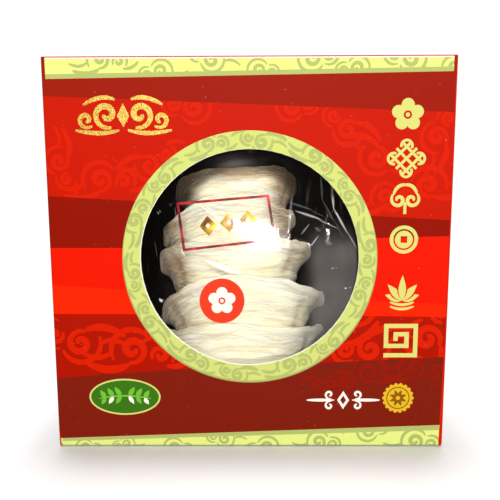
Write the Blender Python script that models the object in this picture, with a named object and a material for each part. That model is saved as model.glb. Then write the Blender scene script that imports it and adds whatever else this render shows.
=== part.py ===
"""Window carton with a stack of edible bird's nests inside it.

A folded board carton has a round window in its front and a tuck lid on top. Inside stand a
black card tray and a clear film pouch with five half-cup nests, stacked one in the other.
Metres, +Z up. The front faces -Y and the origin is the centre of the carton's base.
"""

import math

import bmesh
import bpy

MM = 0.001

# Carton
CARTON_WIDTH = 180 * MM
CARTON_DEPTH = 64 * MM
CARTON_HEIGHT = 178 * MM
BOARD = 0.6 * MM
FOLD_RADIUS = 0.9 * MM
GAP = 0.3 * MM
CUT_OVER = 5 * MM
WINDOW_DIAMETER = 98.2 * MM
WINDOW_HEIGHT = 89 * MM
WINDOW_SIDES = 64
DUST_FLAP_LENGTH = 34 * MM
DUST_FLAP_SETBACK = 3.2 * MM

# Tuck lid
LID_SIDE_CLEARANCE = 0.4 * MM
TUCK_LENGTH = 16 * MM
TUCK_LEAN = math.radians(11)
TUCK_SIDE_INSET = 3 * MM
TUCK_CORNER = 8 * MM
TUCK_CORNER_STEPS = 4
LID_FOLD_STEPS = 3

# Window film, glued behind the front panel
FILM = 0.3 * MM
FILM_WIDTH = 112 * MM

# Card tray
TRAY_CARD = 0.5 * MM
TRAY_HEIGHT = 158 * MM
TRAY_FRONT_SETBACK = 2.6 * MM

# Film pouch
POUCH_FILM = 0.3 * MM
POUCH_LEFT = -50 * MM
POUCH_RIGHT = 62 * MM
POUCH_FRONT = -29.2 * MM
POUCH_LEAN = 0.06
POUCH_BACK = 27 * MM
POUCH_TOP = 156 * MM
POUCH_SHOULDER = 138 * MM
POUCH_CORNER = 15 * MM
POUCH_CORNER_STEPS = 4
POUCH_MOUTH = 2 * MM
POUCH_BASE_SHARE = 0.8
POUCH_BASE_RISE = 5 * MM
POUCH_TOP_STEPS = 3

# Grade label and round sticker, both on the pouch's front
LABEL_WIDTH = 47 * MM
LABEL_HEIGHT = 29 * MM
LABEL_CENTRE = (-10.6 * MM, 104.4 * MM)
LABEL_TURN = math.radians(4.8)
LABEL_THICKNESS = 0.2 * MM
STICKER_DIAMETER = 20.9 * MM
STICKER_CENTRE = (-13 * MM, 68.4 * MM)
STICKER_SIDES = 40

# Nests
NEST_WALL = 3.4 * MM
NEST_FLARE = 0.9
NEST_RIPPLE = 0.35
NEST_PINCH = 0.13
NEST_PINCH_END = 0.22
NEST_ACROSS = 30
NEST_DOWN = 11


def clear_scene():
    for old in list(bpy.data.objects):
        bpy.data.objects.remove(old, do_unlink=True)


def material(name, colour, roughness, metallic=0.0, alpha=1.0):
    made = bpy.data.materials.new(name)
    made.use_nodes = True
    shader = made.node_tree.nodes["Principled BSDF"]
    shader.inputs["Base Color"].default_value = (*colour, 1.0)
    shader.inputs["Roughness"].default_value = roughness
    shader.inputs["Metallic"].default_value = metallic
    shader.inputs["Alpha"].default_value = alpha
    made.diffuse_color = (*colour, alpha)
    return made


def add_object(name, bm, finish):
    bm.normal_update()
    bmesh.ops.recalc_face_normals(bm, faces=bm.faces)
    mesh = bpy.data.meshes.new(name)
    bm.to_mesh(mesh)
    bm.free()
    made = bpy.data.objects.new(name, mesh)
    made.data.materials.append(finish)
    bpy.context.scene.collection.objects.link(made)
    return made


def box_mesh(bm, low, high):
    """Adds a closed box between two corners and returns its vertices."""
    size = [h - l for l, h in zip(low, high)]
    middle = [(h + l) / 2 for l, h in zip(low, high)]
    verts = bmesh.ops.create_cube(bm, size=1.0)["verts"]
    for vert in verts:
        vert.co = [c * s + m for c, s, m in zip(vert.co, size, middle)]
    return verts


def cutter(name, bm):
    """A hidden object that Booleans subtract."""
    made = add_object(name, bm, bpy.data.materials["cutter"])
    made.hide_render = True
    made.display_type = "WIRE"
    return made


def box_cutter(name, low, high):
    bm = bmesh.new()
    box_mesh(bm, low, high)
    return cutter(name, bm)


def round_cutter(name, diameter, sides, centre_z, y_low, y_high):
    """A cylinder along Y that cuts a round window."""
    bm = bmesh.new()
    made = bmesh.ops.create_cone(
        bm, cap_ends=True, segments=sides, radius1=diameter / 2, radius2=diameter / 2,
        depth=y_high - y_low,
    )
    for vert in made["verts"]:
        x, y, z = vert.co
        vert.co = (x, (y_low + y_high) / 2 - z, y + centre_z)
    return cutter(name, bm)


def subtract(body, tool):
    cut = body.modifiers.new("cut_" + tool.name, "BOOLEAN")
    cut.operation = "DIFFERENCE"
    cut.solver = "EXACT"
    cut.object = tool


def build_carton(finish):
    """One folded board: front, back, sides, base and the two dust flaps under the lid."""
    half_x = CARTON_WIDTH / 2
    half_y = CARTON_DEPTH / 2
    lid_underside = CARTON_HEIGHT - BOARD
    wall_top = lid_underside - GAP
    front_top = CARTON_HEIGHT - GAP
    bm = bmesh.new()
    box_mesh(bm, (-half_x, -half_y, 0), (half_x, half_y, front_top))
    folds = [
        edge for edge in bm.edges
        if min(v.co.z for v in edge.verts) < front_top / 2
    ]
    bmesh.ops.bevel(
        bm, geom=folds, offset=FOLD_RADIUS, segments=2, profile=0.5, affect="EDGES",
    )
    carton = add_object("carton", bm, finish)
    inner_x = half_x - BOARD
    inner_y = half_y - BOARD
    flap_x = inner_x - DUST_FLAP_LENGTH
    flap_y = inner_y - DUST_FLAP_SETBACK
    flap_underside = wall_top - BOARD
    over = CUT_OVER
    cuts = [
        box_cutter("inside", (-inner_x, -inner_y, BOARD), (inner_x, inner_y, flap_underside)),
        box_cutter(
            "lid_seat", (-half_x - over, -inner_y, wall_top),
            (half_x + over, half_y + over, CARTON_HEIGHT + over),
        ),
        box_cutter(
            "mouth", (-flap_x, -inner_y, flap_underside - over),
            (flap_x, inner_y, CARTON_HEIGHT + over),
        ),
        box_cutter(
            "tuck_slot", (-inner_x, -inner_y, flap_underside - over),
            (inner_x, -flap_y, CARTON_HEIGHT + over),
        ),
        box_cutter(
            "back_slot", (-inner_x, flap_y, flap_underside - over),
            (inner_x, inner_y, CARTON_HEIGHT + over),
        ),
        round_cutter(
            "window", WINDOW_DIAMETER, WINDOW_SIDES, WINDOW_HEIGHT,
            -half_y - over, -inner_y + over,
        ),
    ]
    for tool in cuts:
        subtract(carton, tool)
    return carton


def lid_profile():
    """Side view of the lid as (y, z) points: the top panel, the front fold and the tuck flap."""
    back = CARTON_DEPTH / 2
    front = -(CARTON_DEPTH / 2 - BOARD - GAP)
    top = CARTON_HEIGHT
    middle_y = front + FOLD_RADIUS
    middle_z = top - FOLD_RADIUS
    outer = [(back, top)]
    for step in range(LID_FOLD_STEPS + 1):
        turn = (math.radians(90) - TUCK_LEAN) * step / LID_FOLD_STEPS
        outer.append((middle_y - FOLD_RADIUS * math.sin(turn), middle_z + FOLD_RADIUS * math.cos(turn)))
    along = (math.sin(TUCK_LEAN), -math.cos(TUCK_LEAN))
    inward = (math.cos(TUCK_LEAN), math.sin(TUCK_LEAN))
    start = outer[-1]
    tip = (start[0] + TUCK_LENGTH * along[0], start[1] + TUCK_LENGTH * along[1])
    inner_tip = (tip[0] + BOARD * inward[0], tip[1] + BOARD * inward[1])
    inner_start = (start[0] + BOARD * inward[0], start[1] + BOARD * inward[1])
    inner_fold = (middle_y + BOARD / 2, top - BOARD)
    return outer + [tip, inner_tip, inner_start, inner_fold, (back, top - BOARD)], tip[1]


def extrude_outline(points, vec):
    """A closed solid from a flat outline of 3-D points, pushed along vec."""
    bm = bmesh.new()
    face = bm.faces.new([bm.verts.new(point) for point in points])
    pushed = bmesh.ops.extrude_face_region(bm, geom=[face])["geom"]
    far = [item for item in pushed if isinstance(item, bmesh.types.BMVert)]
    bmesh.ops.translate(bm, verts=far, vec=vec)
    return bm


def tuck_corner(name, side, edge, tip_z):
    """Cutter that narrows one end of the tuck flap and rounds its corner."""
    inset = TUCK_SIDE_INSET
    start = edge - side * inset
    outline = [(edge + side * CUT_OVER, CARTON_HEIGHT - BOARD), (start, CARTON_HEIGHT - BOARD)]
    for step in range(TUCK_CORNER_STEPS + 1):
        turn = math.radians(90) * step / TUCK_CORNER_STEPS
        outline.append((
            start - side * TUCK_CORNER * (1 - math.cos(turn)),
            tip_z + TUCK_CORNER * (1 - math.sin(turn)),
        ))
    outline.append((outline[-1][0], tip_z - CUT_OVER))
    outline.append((edge + side * CUT_OVER, tip_z - CUT_OVER))
    front = -CARTON_DEPTH / 2
    points = [(x, front, z) for x, z in outline]
    return cutter(name, extrude_outline(points, (0, 2 * CUT_OVER, 0)))


def build_lid(finish):
    """Top panel and tuck flap, folded from one strip; it turns on the back top crease."""
    half_width = CARTON_WIDTH / 2 - LID_SIDE_CLEARANCE
    profile, tip_z = lid_profile()
    points = [(-half_width, y, z) for y, z in profile]
    lid = add_object("lid", extrude_outline(points, (2 * half_width, 0, 0)), finish)
    subtract(lid, tuck_corner("tuck_corner_left", -1, -half_width, tip_z))
    subtract(lid, tuck_corner("tuck_corner_right", 1, half_width, tip_z))
    return lid


def build_window_film(finish):
    back_of_front = -(CARTON_DEPTH / 2 - BOARD - GAP)
    half = FILM_WIDTH / 2
    bm = bmesh.new()
    box_mesh(
        bm, (-half, back_of_front, WINDOW_HEIGHT - half),
        (half, back_of_front + FILM, WINDOW_HEIGHT + half),
    )
    return add_object("window_film", bm, finish)


def build_tray(finish):
    """Black card tray with a floor, a back and two sides, open to the front and the top."""
    half_x = CARTON_WIDTH / 2 - BOARD - GAP
    half_y = CARTON_DEPTH / 2 - BOARD - GAP
    front = -half_y + TRAY_FRONT_SETBACK
    floor = BOARD + GAP
    bm = bmesh.new()
    box_mesh(bm, (-half_x, front, floor), (half_x, half_y, TRAY_HEIGHT))
    tray = add_object("tray", bm, finish)
    hollow = box_cutter(
        "tray_hollow", (-half_x + TRAY_CARD, front - CUT_OVER, floor + TRAY_CARD),
        (half_x - TRAY_CARD, half_y - TRAY_CARD, TRAY_HEIGHT + CUT_OVER),
    )
    subtract(tray, hollow)
    return tray


def pouch_front(height):
    """Y of the pouch's front sheet, which leans back a little with height."""
    return POUCH_FRONT + POUCH_LEAN * height


def pouch_section(left, right, front, back, corner):
    """A rounded rectangle seen from above, counter-clockwise, as (x, y) points."""
    corner_x = min(corner, (right - left) / 2)
    corner_y = min(corner, (back - front) / 2)
    points = []
    for middle_x, middle_y, start in (
        (right - corner_x, front + corner_y, -90),
        (right - corner_x, back - corner_y, 0),
        (left + corner_x, back - corner_y, 90),
        (left + corner_x, front + corner_y, 180),
    ):
        for step in range(POUCH_CORNER_STEPS + 1):
            turn = math.radians(start + 90 * step / POUCH_CORNER_STEPS)
            points.append((middle_x + corner_x * math.cos(turn), middle_y + corner_y * math.sin(turn)))
    return points


def pouch_levels():
    """(share of the width, share of the depth, height) of each ring, from the base to the mouth."""
    floor = BOARD + GAP + TRAY_CARD + GAP
    levels = [
        (POUCH_BASE_SHARE, POUCH_BASE_SHARE, floor),
        (1.0, 1.0, floor + POUCH_BASE_RISE),
        (1.0, 1.0, POUCH_SHOULDER),
    ]
    mouth_share = POUCH_MOUTH / (POUCH_BACK - POUCH_FRONT)
    rise = POUCH_TOP - POUCH_SHOULDER
    for step in range(1, POUCH_TOP_STEPS + 1):
        share = step / POUCH_TOP_STEPS
        depth_share = 1 - (1 - mouth_share) * share ** 1.6
        levels.append((1.0, depth_share, POUCH_SHOULDER + rise * share ** 0.8))
    return levels


def pouch_ring(bm, level, inset):
    """Vertices of one level of the pouch, moved inward by inset."""
    width_share, depth_share, height = level
    front = pouch_front(height)
    middle_x = (POUCH_LEFT + POUCH_RIGHT) / 2
    middle_y = (front + POUCH_BACK) / 2
    half_width = (POUCH_RIGHT - POUCH_LEFT) / 2 * width_share - inset
    half_depth = (POUCH_BACK - front) / 2 * depth_share - inset
    section = pouch_section(
        middle_x - half_width, middle_x + half_width,
        middle_y - half_depth, middle_y + half_depth,
        POUCH_CORNER * depth_share - inset / 2,
    )
    return [bm.verts.new((x, y, height)) for x, y in section]


def build_pouch(finish):
    """Clear film pouch: flat base, straight front, and a top that closes to a narrow mouth."""
    levels = pouch_levels()
    bm = bmesh.new()
    outside = [pouch_ring(bm, level, 0.0) for level in levels]
    base_width, base_depth, base_height = levels[0]
    inner_levels = [(base_width, base_depth, base_height + POUCH_FILM)] + levels[1:]
    inside = [pouch_ring(bm, level, POUCH_FILM) for level in inner_levels]
    count = len(outside[0])
    for rings, flip in ((outside, False), (inside, True)):
        for low, high in zip(rings, rings[1:]):
            for i in range(count):
                j = (i + 1) % count
                quad = [low[i], low[j], high[j], high[i]]
                bm.faces.new(quad[::-1] if flip else quad)
    bm.faces.new(outside[0][::-1])
    bm.faces.new(inside[0])
    for i in range(count):
        j = (i + 1) % count
        bm.faces.new([outside[-1][i], outside[-1][j], inside[-1][j], inside[-1][i]])
    return add_object("pouch", bm, finish)


def front_plate(name, outline, centre, turn, finish):
    """A thin plate stuck on the pouch's front sheet, from (x, z) points round its own centre."""
    cos_turn, sin_turn = math.cos(turn), math.sin(turn)
    points = []
    for x, z in outline:
        at_x = centre[0] + x * cos_turn - z * sin_turn
        at_z = centre[1] + x * sin_turn + z * cos_turn
        points.append((at_x, pouch_front(at_z) - GAP - LABEL_THICKNESS, at_z))
    return add_object(name, extrude_outline(points, (0, LABEL_THICKNESS, 0)), finish)


def build_label(finish):
    half_w, half_h = LABEL_WIDTH / 2, LABEL_HEIGHT / 2
    outline = [(-half_w, -half_h), (half_w, -half_h), (half_w, half_h), (-half_w, half_h)]
    return front_plate("grade_label", outline, LABEL_CENTRE, LABEL_TURN, finish)


def build_sticker(finish):
    radius = STICKER_DIAMETER / 2
    outline = []
    for i in range(STICKER_SIDES):
        turn = 2 * math.pi * i / STICKER_SIDES
        outline.append((radius * math.cos(turn), radius * math.sin(turn)))
    return front_plate("round_sticker", outline, STICKER_CENTRE, 0.0, finish)


def nest_rules():
    """The five nests, lowest first, in millimetres: each has its own size, place and rim."""
    return [
        dict(x=-4.5, base=2.6, width=86, depth=40.5, height=53.2, front=-24.4, sway=1.2, drop=(14, 8)),
        dict(x=-4.2, base=26.5, width=86, depth=37.0, height=52.7, front=-21.0, sway=1.5, drop=(27, 17)),
        dict(x=-7.8, base=44.8, width=79, depth=33.0, height=51.8, front=-17.5, sway=1.2, drop=(17, 9)),
        dict(x=-11.0, base=62.6, width=69, depth=30.2, height=51.7, front=-14.4, sway=1.4, drop=(20, 10)),
        dict(x=-7.2, base=80.4, width=62, depth=27.2, height=50.0, front=-11.5, sway=1.0, drop=(14.5, 9)),
    ]


def nest_point(rule, across, down, wall):
    """A point of the half cup: across runs 0 to 1 from ear to ear, down 0 to 1 from rim to base.

    The rim is highest at the front and drops towards the ears, more on the left than the right.
    Below the rim the sides draw in, so that the ears stand out.
    """
    turn = math.pi * (across - 0.5)
    fall = down * math.pi / 2
    reach = max(math.cos(fall), 0.0) ** NEST_FLARE
    half_width = rule["width"] / 2 - wall
    depth = rule["depth"] - wall
    height = rule["height"] - 0.9 * wall
    side = math.sin(turn)
    share = min(down / NEST_PINCH_END, 1.0)
    pinch = 1 - NEST_PINCH * share * share * (3 - 2 * share) * side * side
    drop_left, drop_right = rule["drop"]
    drop = (drop_right if side > 0 else drop_left) * (1 - math.cos(turn)) * (1 - down) ** 1.5
    sway = rule["sway"] * math.sin(3 * turn + rule["x"]) * (1 - down) ** 2
    ripple = NEST_RIPPLE * math.sin(11 * down + 2 * turn) * (1 - down)
    x = rule["x"] + (half_width + ripple) * reach * side * pinch
    y = rule["front"] + rule["depth"] - (depth + ripple) * reach * math.cos(turn)
    z = rule["base"] + rule["height"] - height * math.sin(fall) + sway - drop
    return (x * MM, y * MM, z * MM)


def build_nest(name, rule, finish):
    """A half cup of woven strands: rounded front wall, open top, open flat back."""
    wall = NEST_WALL / MM
    bm = bmesh.new()
    skins = []
    for thickness in (0.0, wall):
        rows = []
        for j in range(NEST_DOWN):
            down = j / NEST_DOWN
            rows.append([
                bm.verts.new(nest_point(rule, i / NEST_ACROSS, down, thickness))
                for i in range(NEST_ACROSS + 1)
            ])
        pole = bm.verts.new(nest_point(rule, 0.5, 1.0, thickness))
        skins.append((rows, pole))
    for (rows, pole), flip in zip(skins, (False, True)):
        for high, low in zip(rows, rows[1:]):
            for i in range(NEST_ACROSS):
                quad = [low[i], low[i + 1], high[i + 1], high[i]]
                bm.faces.new(quad[::-1] if flip else quad)
        for i in range(NEST_ACROSS):
            fan = [pole, rows[-1][i + 1], rows[-1][i]]
            bm.faces.new(fan[::-1] if flip else fan)
    (outer, outer_pole), (inner, inner_pole) = skins
    for i in range(NEST_ACROSS):
        bm.faces.new([outer[0][i], outer[0][i + 1], inner[0][i + 1], inner[0][i]])
    for end in (0, NEST_ACROSS):
        column_outer = [row[end] for row in outer] + [outer_pole]
        column_inner = [row[end] for row in inner] + [inner_pole]
        for k in range(len(column_outer) - 1):
            bm.faces.new([column_outer[k], column_outer[k + 1], column_inner[k + 1], column_inner[k]])
    return add_object(name, bm, finish)


def main():
    clear_scene()
    material("cutter", (0.5, 0.5, 0.5), 0.5)
    printed_board = material("printed_board", (0.55, 0.04, 0.02), 0.35)
    clear_film = material("clear_film", (0.9, 0.92, 0.95), 0.08, alpha=0.15)
    black_card = material("black_card", (0.012, 0.011, 0.011), 0.8)
    pouch_film = material("pouch_film", (0.85, 0.88, 0.93), 0.12, alpha=0.2)
    label_foil = material("label_foil", (0.6, 0.02, 0.03), 0.25, metallic=0.6, alpha=0.5)
    sticker_paper = material("sticker_paper", (0.87, 0.05, 0.02), 0.45)
    nest_strand = material("nest_strand", (0.92, 0.84, 0.66), 0.6)
    build_carton(printed_board)
    build_lid(printed_board)
    build_window_film(clear_film)
    build_tray(black_card)
    build_pouch(pouch_film)
    build_label(label_foil)
    build_sticker(sticker_paper)
    for number, rule in enumerate(nest_rules(), start=1):
        build_nest(f"nest_{number}", rule, nest_strand)


main()
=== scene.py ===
import math

import bmesh
import bpy
import numpy as np
from mathutils import Matrix, Vector
from mathutils.geometry import delaunay_2d_cdt


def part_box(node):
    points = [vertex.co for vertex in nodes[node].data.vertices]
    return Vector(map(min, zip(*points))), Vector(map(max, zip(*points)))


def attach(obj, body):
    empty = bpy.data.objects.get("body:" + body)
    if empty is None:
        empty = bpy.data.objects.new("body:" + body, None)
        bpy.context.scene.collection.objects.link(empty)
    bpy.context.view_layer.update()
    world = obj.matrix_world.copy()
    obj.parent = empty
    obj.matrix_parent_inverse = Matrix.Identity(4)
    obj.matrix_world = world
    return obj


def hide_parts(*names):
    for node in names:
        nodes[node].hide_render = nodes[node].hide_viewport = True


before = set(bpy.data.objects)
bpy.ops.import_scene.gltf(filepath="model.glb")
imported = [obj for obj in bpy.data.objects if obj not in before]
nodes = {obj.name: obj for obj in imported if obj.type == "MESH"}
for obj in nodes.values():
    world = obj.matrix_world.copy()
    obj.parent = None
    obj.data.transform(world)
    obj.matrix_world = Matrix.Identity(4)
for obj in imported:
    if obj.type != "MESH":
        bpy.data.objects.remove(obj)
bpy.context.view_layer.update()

mm = 0.001


# Helpers for colours, nodes, noise and meshes

def printed(red, green, blue):  # a colour as 0 to 255 values, made linear for the shaders
    def linear(value):
        share = value / 255
        return share / 12.92 if share <= 0.04045 else ((share + 0.055) / 1.055) ** 2.4
    return (linear(red), linear(green), linear(blue), 1.0)


def feed(tree, socket, value):  # a link where the value is a socket, otherwise the plain value
    if isinstance(value, bpy.types.NodeSocket):
        tree.links.new(value, socket)
    else:
        socket.default_value = value


def addNode(tree, kind, inputs=None, **settings):
    made = tree.nodes.new(kind)
    for name, value in settings.items():
        setattr(made, name, value)
    for name, value in (inputs or {}).items():
        feed(tree, made.inputs[name], value)
    return made


def calc(tree, operation, *values):  # one Math node
    made = addNode(tree, "ShaderNodeMath", operation=operation)
    for place, value in enumerate(values):
        feed(tree, made.inputs[place], value)
    return made.outputs[0]


def blendColour(tree, factor, first, second, mode="MIX"):
    made = addNode(tree, "ShaderNodeMix", data_type="RGBA", blend_type=mode)
    for place, value in ((0, factor), (6, first), (7, second)):  # 6 and 7 are its colour sockets
        feed(tree, made.inputs[place], value)
    return made.outputs[2]


def remap(tree, value, low, high, toLow=0.0, toHigh=1.0):
    return addNode(tree, "ShaderNodeMapRange", {
        "Value": value, "From Min": low, "From Max": high, "To Min": toLow, "To Max": toHigh,
    }).outputs["Result"]


def stretched(tree, x=1, y=1, z=1):  # object coordinates, with a scale per axis
    where = addNode(tree, "ShaderNodeTexCoord")
    return addNode(tree, "ShaderNodeMapping", {
        "Vector": where.outputs["Object"], "Scale": (x, y, z),
    }).outputs["Vector"]


def noiseOf(tree, vector, scale, detail=2.0):
    return addNode(tree, "ShaderNodeTexNoise", {
        "Vector": vector, "Scale": scale, "Detail": detail,
    }).outputs["Fac"]


def bumpOf(tree, height, strength, distance):
    return addNode(tree, "ShaderNodeBump", {
        "Height": height, "Strength": strength, "Distance": distance,
    }).outputs["Normal"]


def buildGroup(name, inputs, outputs, fill):
    tree = bpy.data.node_groups.new(name, "ShaderNodeTree")
    for title, value in inputs.items():
        kind = "NodeSocketColor" if isinstance(value, tuple) else "NodeSocketFloat"
        socket = tree.interface.new_socket(name=title, in_out="INPUT", socket_type=kind)
        socket.default_value = value
    for title, kind in outputs.items():
        tree.interface.new_socket(name=title, in_out="OUTPUT", socket_type=kind)
    start = tree.nodes.new("NodeGroupInput")
    end = tree.nodes.new("NodeGroupOutput")
    for title, socket in fill(tree, start.outputs).items():
        tree.links.new(socket, end.inputs[title])
    return tree


def placeGroup(tree, group, **inputs):
    made = tree.nodes.new("ShaderNodeGroup")
    made.node_tree = group
    for name, value in inputs.items():
        feed(tree, made.inputs[name], value)
    return made.outputs


def newMaterial(name):
    made = bpy.data.materials.new(name)
    made.use_nodes = True
    return made, made.node_tree, made.node_tree.nodes["Principled BSDF"]


def setShader(tree, shader, **inputs):  # the shader's sockets by name, with _ for a space
    for name, value in inputs.items():
        feed(tree, shader.inputs[name.replace("_", " ")], value)


def attributeOf(tree, name):
    return addNode(tree, "ShaderNodeAttribute", attribute_name=name, attribute_type="GEOMETRY")


def smoothStep(low, high, value):
    share = np.clip((value - low) / (high - low), 0, 1)
    return share * share * (3 - 2 * share)


latticeSize = 64  # the noise repeats after so many cells


def softNoise(x, y, seed):  # smooth random values from -1 to 1 on a seeded lattice
    lattice = np.random.default_rng(seed).uniform(-1, 1, (latticeSize, latticeSize))
    column, row = np.floor(x).astype(int), np.floor(y).astype(int)
    right, up = smoothStep(0, 1, x - column), smoothStep(0, 1, y - row)

    def at(stepX, stepY):
        return lattice[(column + stepX) % latticeSize, (row + stepY) % latticeSize]

    near = at(0, 0) * (1 - right) + at(1, 0) * right
    far = at(0, 1) * (1 - right) + at(1, 1) * right
    return near * (1 - up) + far * up


def pointValues(piece, name, values):  # one number per vertex, for a material to read
    layer = piece.data.attributes.new(name, "FLOAT", "POINT")
    layer.data.foreach_set("value", np.array(values, np.float32))


def newPiece(name, points, faces, materials, faceSlots=None, faceColours=None, smooth=False):
    mesh = bpy.data.meshes.new(name)
    mesh.from_pydata([tuple(point) for point in points], [], faces)
    for made in materials:
        mesh.materials.append(made)
    if faceSlots is not None:
        mesh.polygons.foreach_set("material_index", faceSlots)
    if faceColours is not None:
        inks = mesh.color_attributes.new("ink", "FLOAT_COLOR", "CORNER")
        counts = np.zeros(len(mesh.polygons), int)
        mesh.polygons.foreach_get("loop_total", counts)
        inks.data.foreach_set("color", np.repeat(np.array(faceColours), counts, axis=0).ravel())
    if smooth:
        mesh.polygons.foreach_set("use_smooth", [True] * len(mesh.polygons))
    mesh.update()
    piece = bpy.data.objects.new(name, mesh)
    bpy.context.scene.collection.objects.link(piece)
    return piece


def weld(piece, distance):
    mesh = bmesh.new()
    mesh.from_mesh(piece.data)
    bmesh.ops.remove_doubles(mesh, verts=mesh.verts, dist=distance)
    bmesh.ops.dissolve_degenerate(mesh, edges=mesh.edges, dist=distance / 2)
    mesh.to_mesh(piece.data)
    mesh.free()


# The camera: where the photograph was taken from

cameraView = {
    "place": (2.54, -321.43, 137.13),  # mm
    "pitchDown": 8.621,  # degrees
    "yaw": -0.471,
    "roll": -0.206,
    "lens": 46.93,  # mm
    "sensor": 36,
    "nearClip": 0.01,  # m
}


def buildCamera(view):
    pitch, yaw, roll = (math.radians(view[name]) for name in ("pitchDown", "yaw", "roll"))
    level = math.cos(pitch)
    ahead = Vector((math.sin(yaw) * level, math.cos(yaw) * level, -math.sin(pitch)))
    right = Vector((math.cos(yaw), -math.sin(yaw), 0))
    up = right.cross(ahead)
    turnedRight = right * math.cos(roll) + up * math.sin(roll)
    turnedUp = up * math.cos(roll) - right * math.sin(roll)
    data = bpy.data.cameras.new("camera")
    data.lens = view["lens"]
    data.sensor_width = view["sensor"]
    data.clip_start = view["nearClip"]
    camera = bpy.data.objects.new("camera", data)
    camera.matrix_world = Matrix((turnedRight, turnedUp, -ahead)).transposed().to_4x4()
    camera.location = Vector(view["place"]) * mm
    bpy.context.scene.collection.objects.link(camera)
    bpy.context.scene.camera = camera


buildCamera(cameraView)
print("stage 1: camera")


# Shader groups that several finishes share

def cellsOf(tree, scale):
    return addNode(tree, "ShaderNodeTexVoronoi", {
        "Vector": stretched(tree), "Scale": scale, "Randomness": 1.0,
    }).outputs


def fillSpecks(tree, given):  # a mask of small separate specks
    cells = cellsOf(tree, given["Scale"])
    size = calc(tree, "MULTIPLY", cells["Color"], given["Size"])
    dot = calc(tree, "LESS_THAN", cells["Distance"], size)
    few = calc(tree, "GREATER_THAN", noiseOf(tree, stretched(tree), 90.0), given["Rarity"])
    return {"Mask": calc(tree, "MULTIPLY", dot, few)}


specks = buildGroup("dustSpecks", {"Scale": 300.0, "Size": 0.1, "Rarity": 0.5},
                    {"Mask": "NodeSocketFloat"}, fillSpecks)


def fillPaper(tree, given):  # ink on paper: mottle, fine grain and a slow waviness of the sheet
    mottle = noiseOf(tree, stretched(tree), 140.0, 4.0)
    grain = noiseOf(tree, stretched(tree), 2600.0, 2.0)
    slow = noiseOf(tree, stretched(tree), 22.0, 1.0)
    tone = calc(tree, "ADD", calc(tree, "MULTIPLY", mottle, 0.6), calc(tree, "MULTIPLY", grain, 0.4))
    swing = calc(tree, "MULTIPLY", calc(tree, "SUBTRACT", tone, 0.5), given["Mottle"])
    shade = calc(tree, "ADD", swing, 1.0)
    toned = blendColour(tree, 1.0, given["Colour"], shade, "MULTIPLY")
    rough = calc(tree, "ADD", given["Roughness"], calc(tree, "MULTIPLY", swing, 0.5))
    height = calc(tree, "ADD", calc(tree, "MULTIPLY", grain, given["Grain"]),
                  calc(tree, "MULTIPLY", slow, given["Wave"]))
    return {"Colour": toned, "Roughness": rough, "Normal": bumpOf(tree, height, 0.6, 0.0001)}


paper = buildGroup(
    "paperFinish",
    {"Colour": (0.8, 0.8, 0.8, 1.0), "Mottle": 0.1, "Roughness": 0.4, "Grain": 0.3, "Wave": 1.0},
    {"Colour": "NodeSocketColor", "Roughness": "NodeSocketFloat", "Normal": "NodeSocketVector"},
    fillPaper,
)


def fillCreaseLine(tree, given):  # a mask along one straight crease on the front, in mm, for a painted highlight
    spot = addNode(tree, "ShaderNodeSeparateXYZ", {"Vector": stretched(tree, 1000, 1000, 1000)}).outputs
    awayX = calc(tree, "SUBTRACT", spot["X"], given["StartX"])
    awayZ = calc(tree, "SUBTRACT", spot["Z"], given["StartZ"])
    onto = calc(tree, "ADD", calc(tree, "MULTIPLY", awayX, given["SpanX"]),
                calc(tree, "MULTIPLY", awayZ, given["SpanZ"]))
    square = calc(tree, "ADD", calc(tree, "MULTIPLY", given["SpanX"], given["SpanX"]),
                  calc(tree, "MULTIPLY", given["SpanZ"], given["SpanZ"]))
    share = calc(tree, "MINIMUM", calc(tree, "MAXIMUM", calc(tree, "DIVIDE", onto, square), 0.0), 1.0)
    gapX = calc(tree, "SUBTRACT", awayX, calc(tree, "MULTIPLY", share, given["SpanX"]))
    gapZ = calc(tree, "SUBTRACT", awayZ, calc(tree, "MULTIPLY", share, given["SpanZ"]))
    gap = calc(tree, "SQRT", calc(tree, "ADD", calc(tree, "MULTIPLY", gapX, gapX),
                                  calc(tree, "MULTIPLY", gapZ, gapZ)))
    centred = calc(tree, "MULTIPLY_ADD", share, 2.0, -1.0)
    taper = calc(tree, "SUBTRACT", 1.08, calc(tree, "MULTIPLY", centred, centred))
    near = calc(tree, "DIVIDE", gap, calc(tree, "MULTIPLY", given["Width"], taper))
    return {"Mask": calc(tree, "MAXIMUM", calc(tree, "SUBTRACT", 1.0, near), 0.0)}


creaseLine = buildGroup(
    "creaseLine", {"StartX": 0.0, "StartZ": 0.0, "SpanX": 1.0, "SpanZ": 1.0, "Width": 0.5},
    {"Mask": "NodeSocketFloat"}, fillCreaseLine,
)


def creaseMask(tree, lines):  # lines as start, end (x, z), width in mm and strength
    total = 0.0
    for (startX, startZ), (endX, endZ), width, strength in lines:
        mask = placeGroup(tree, creaseLine, StartX=startX, StartZ=startZ, SpanX=endX - startX,
                          SpanZ=endZ - startZ, Width=width)["Mask"]
        total = calc(tree, "MAXIMUM", calc(tree, "MULTIPLY", mask, strength), total)
    return total


# Printed board: the inks, and the art as polygons on the unrolled carton, in mm

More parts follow.
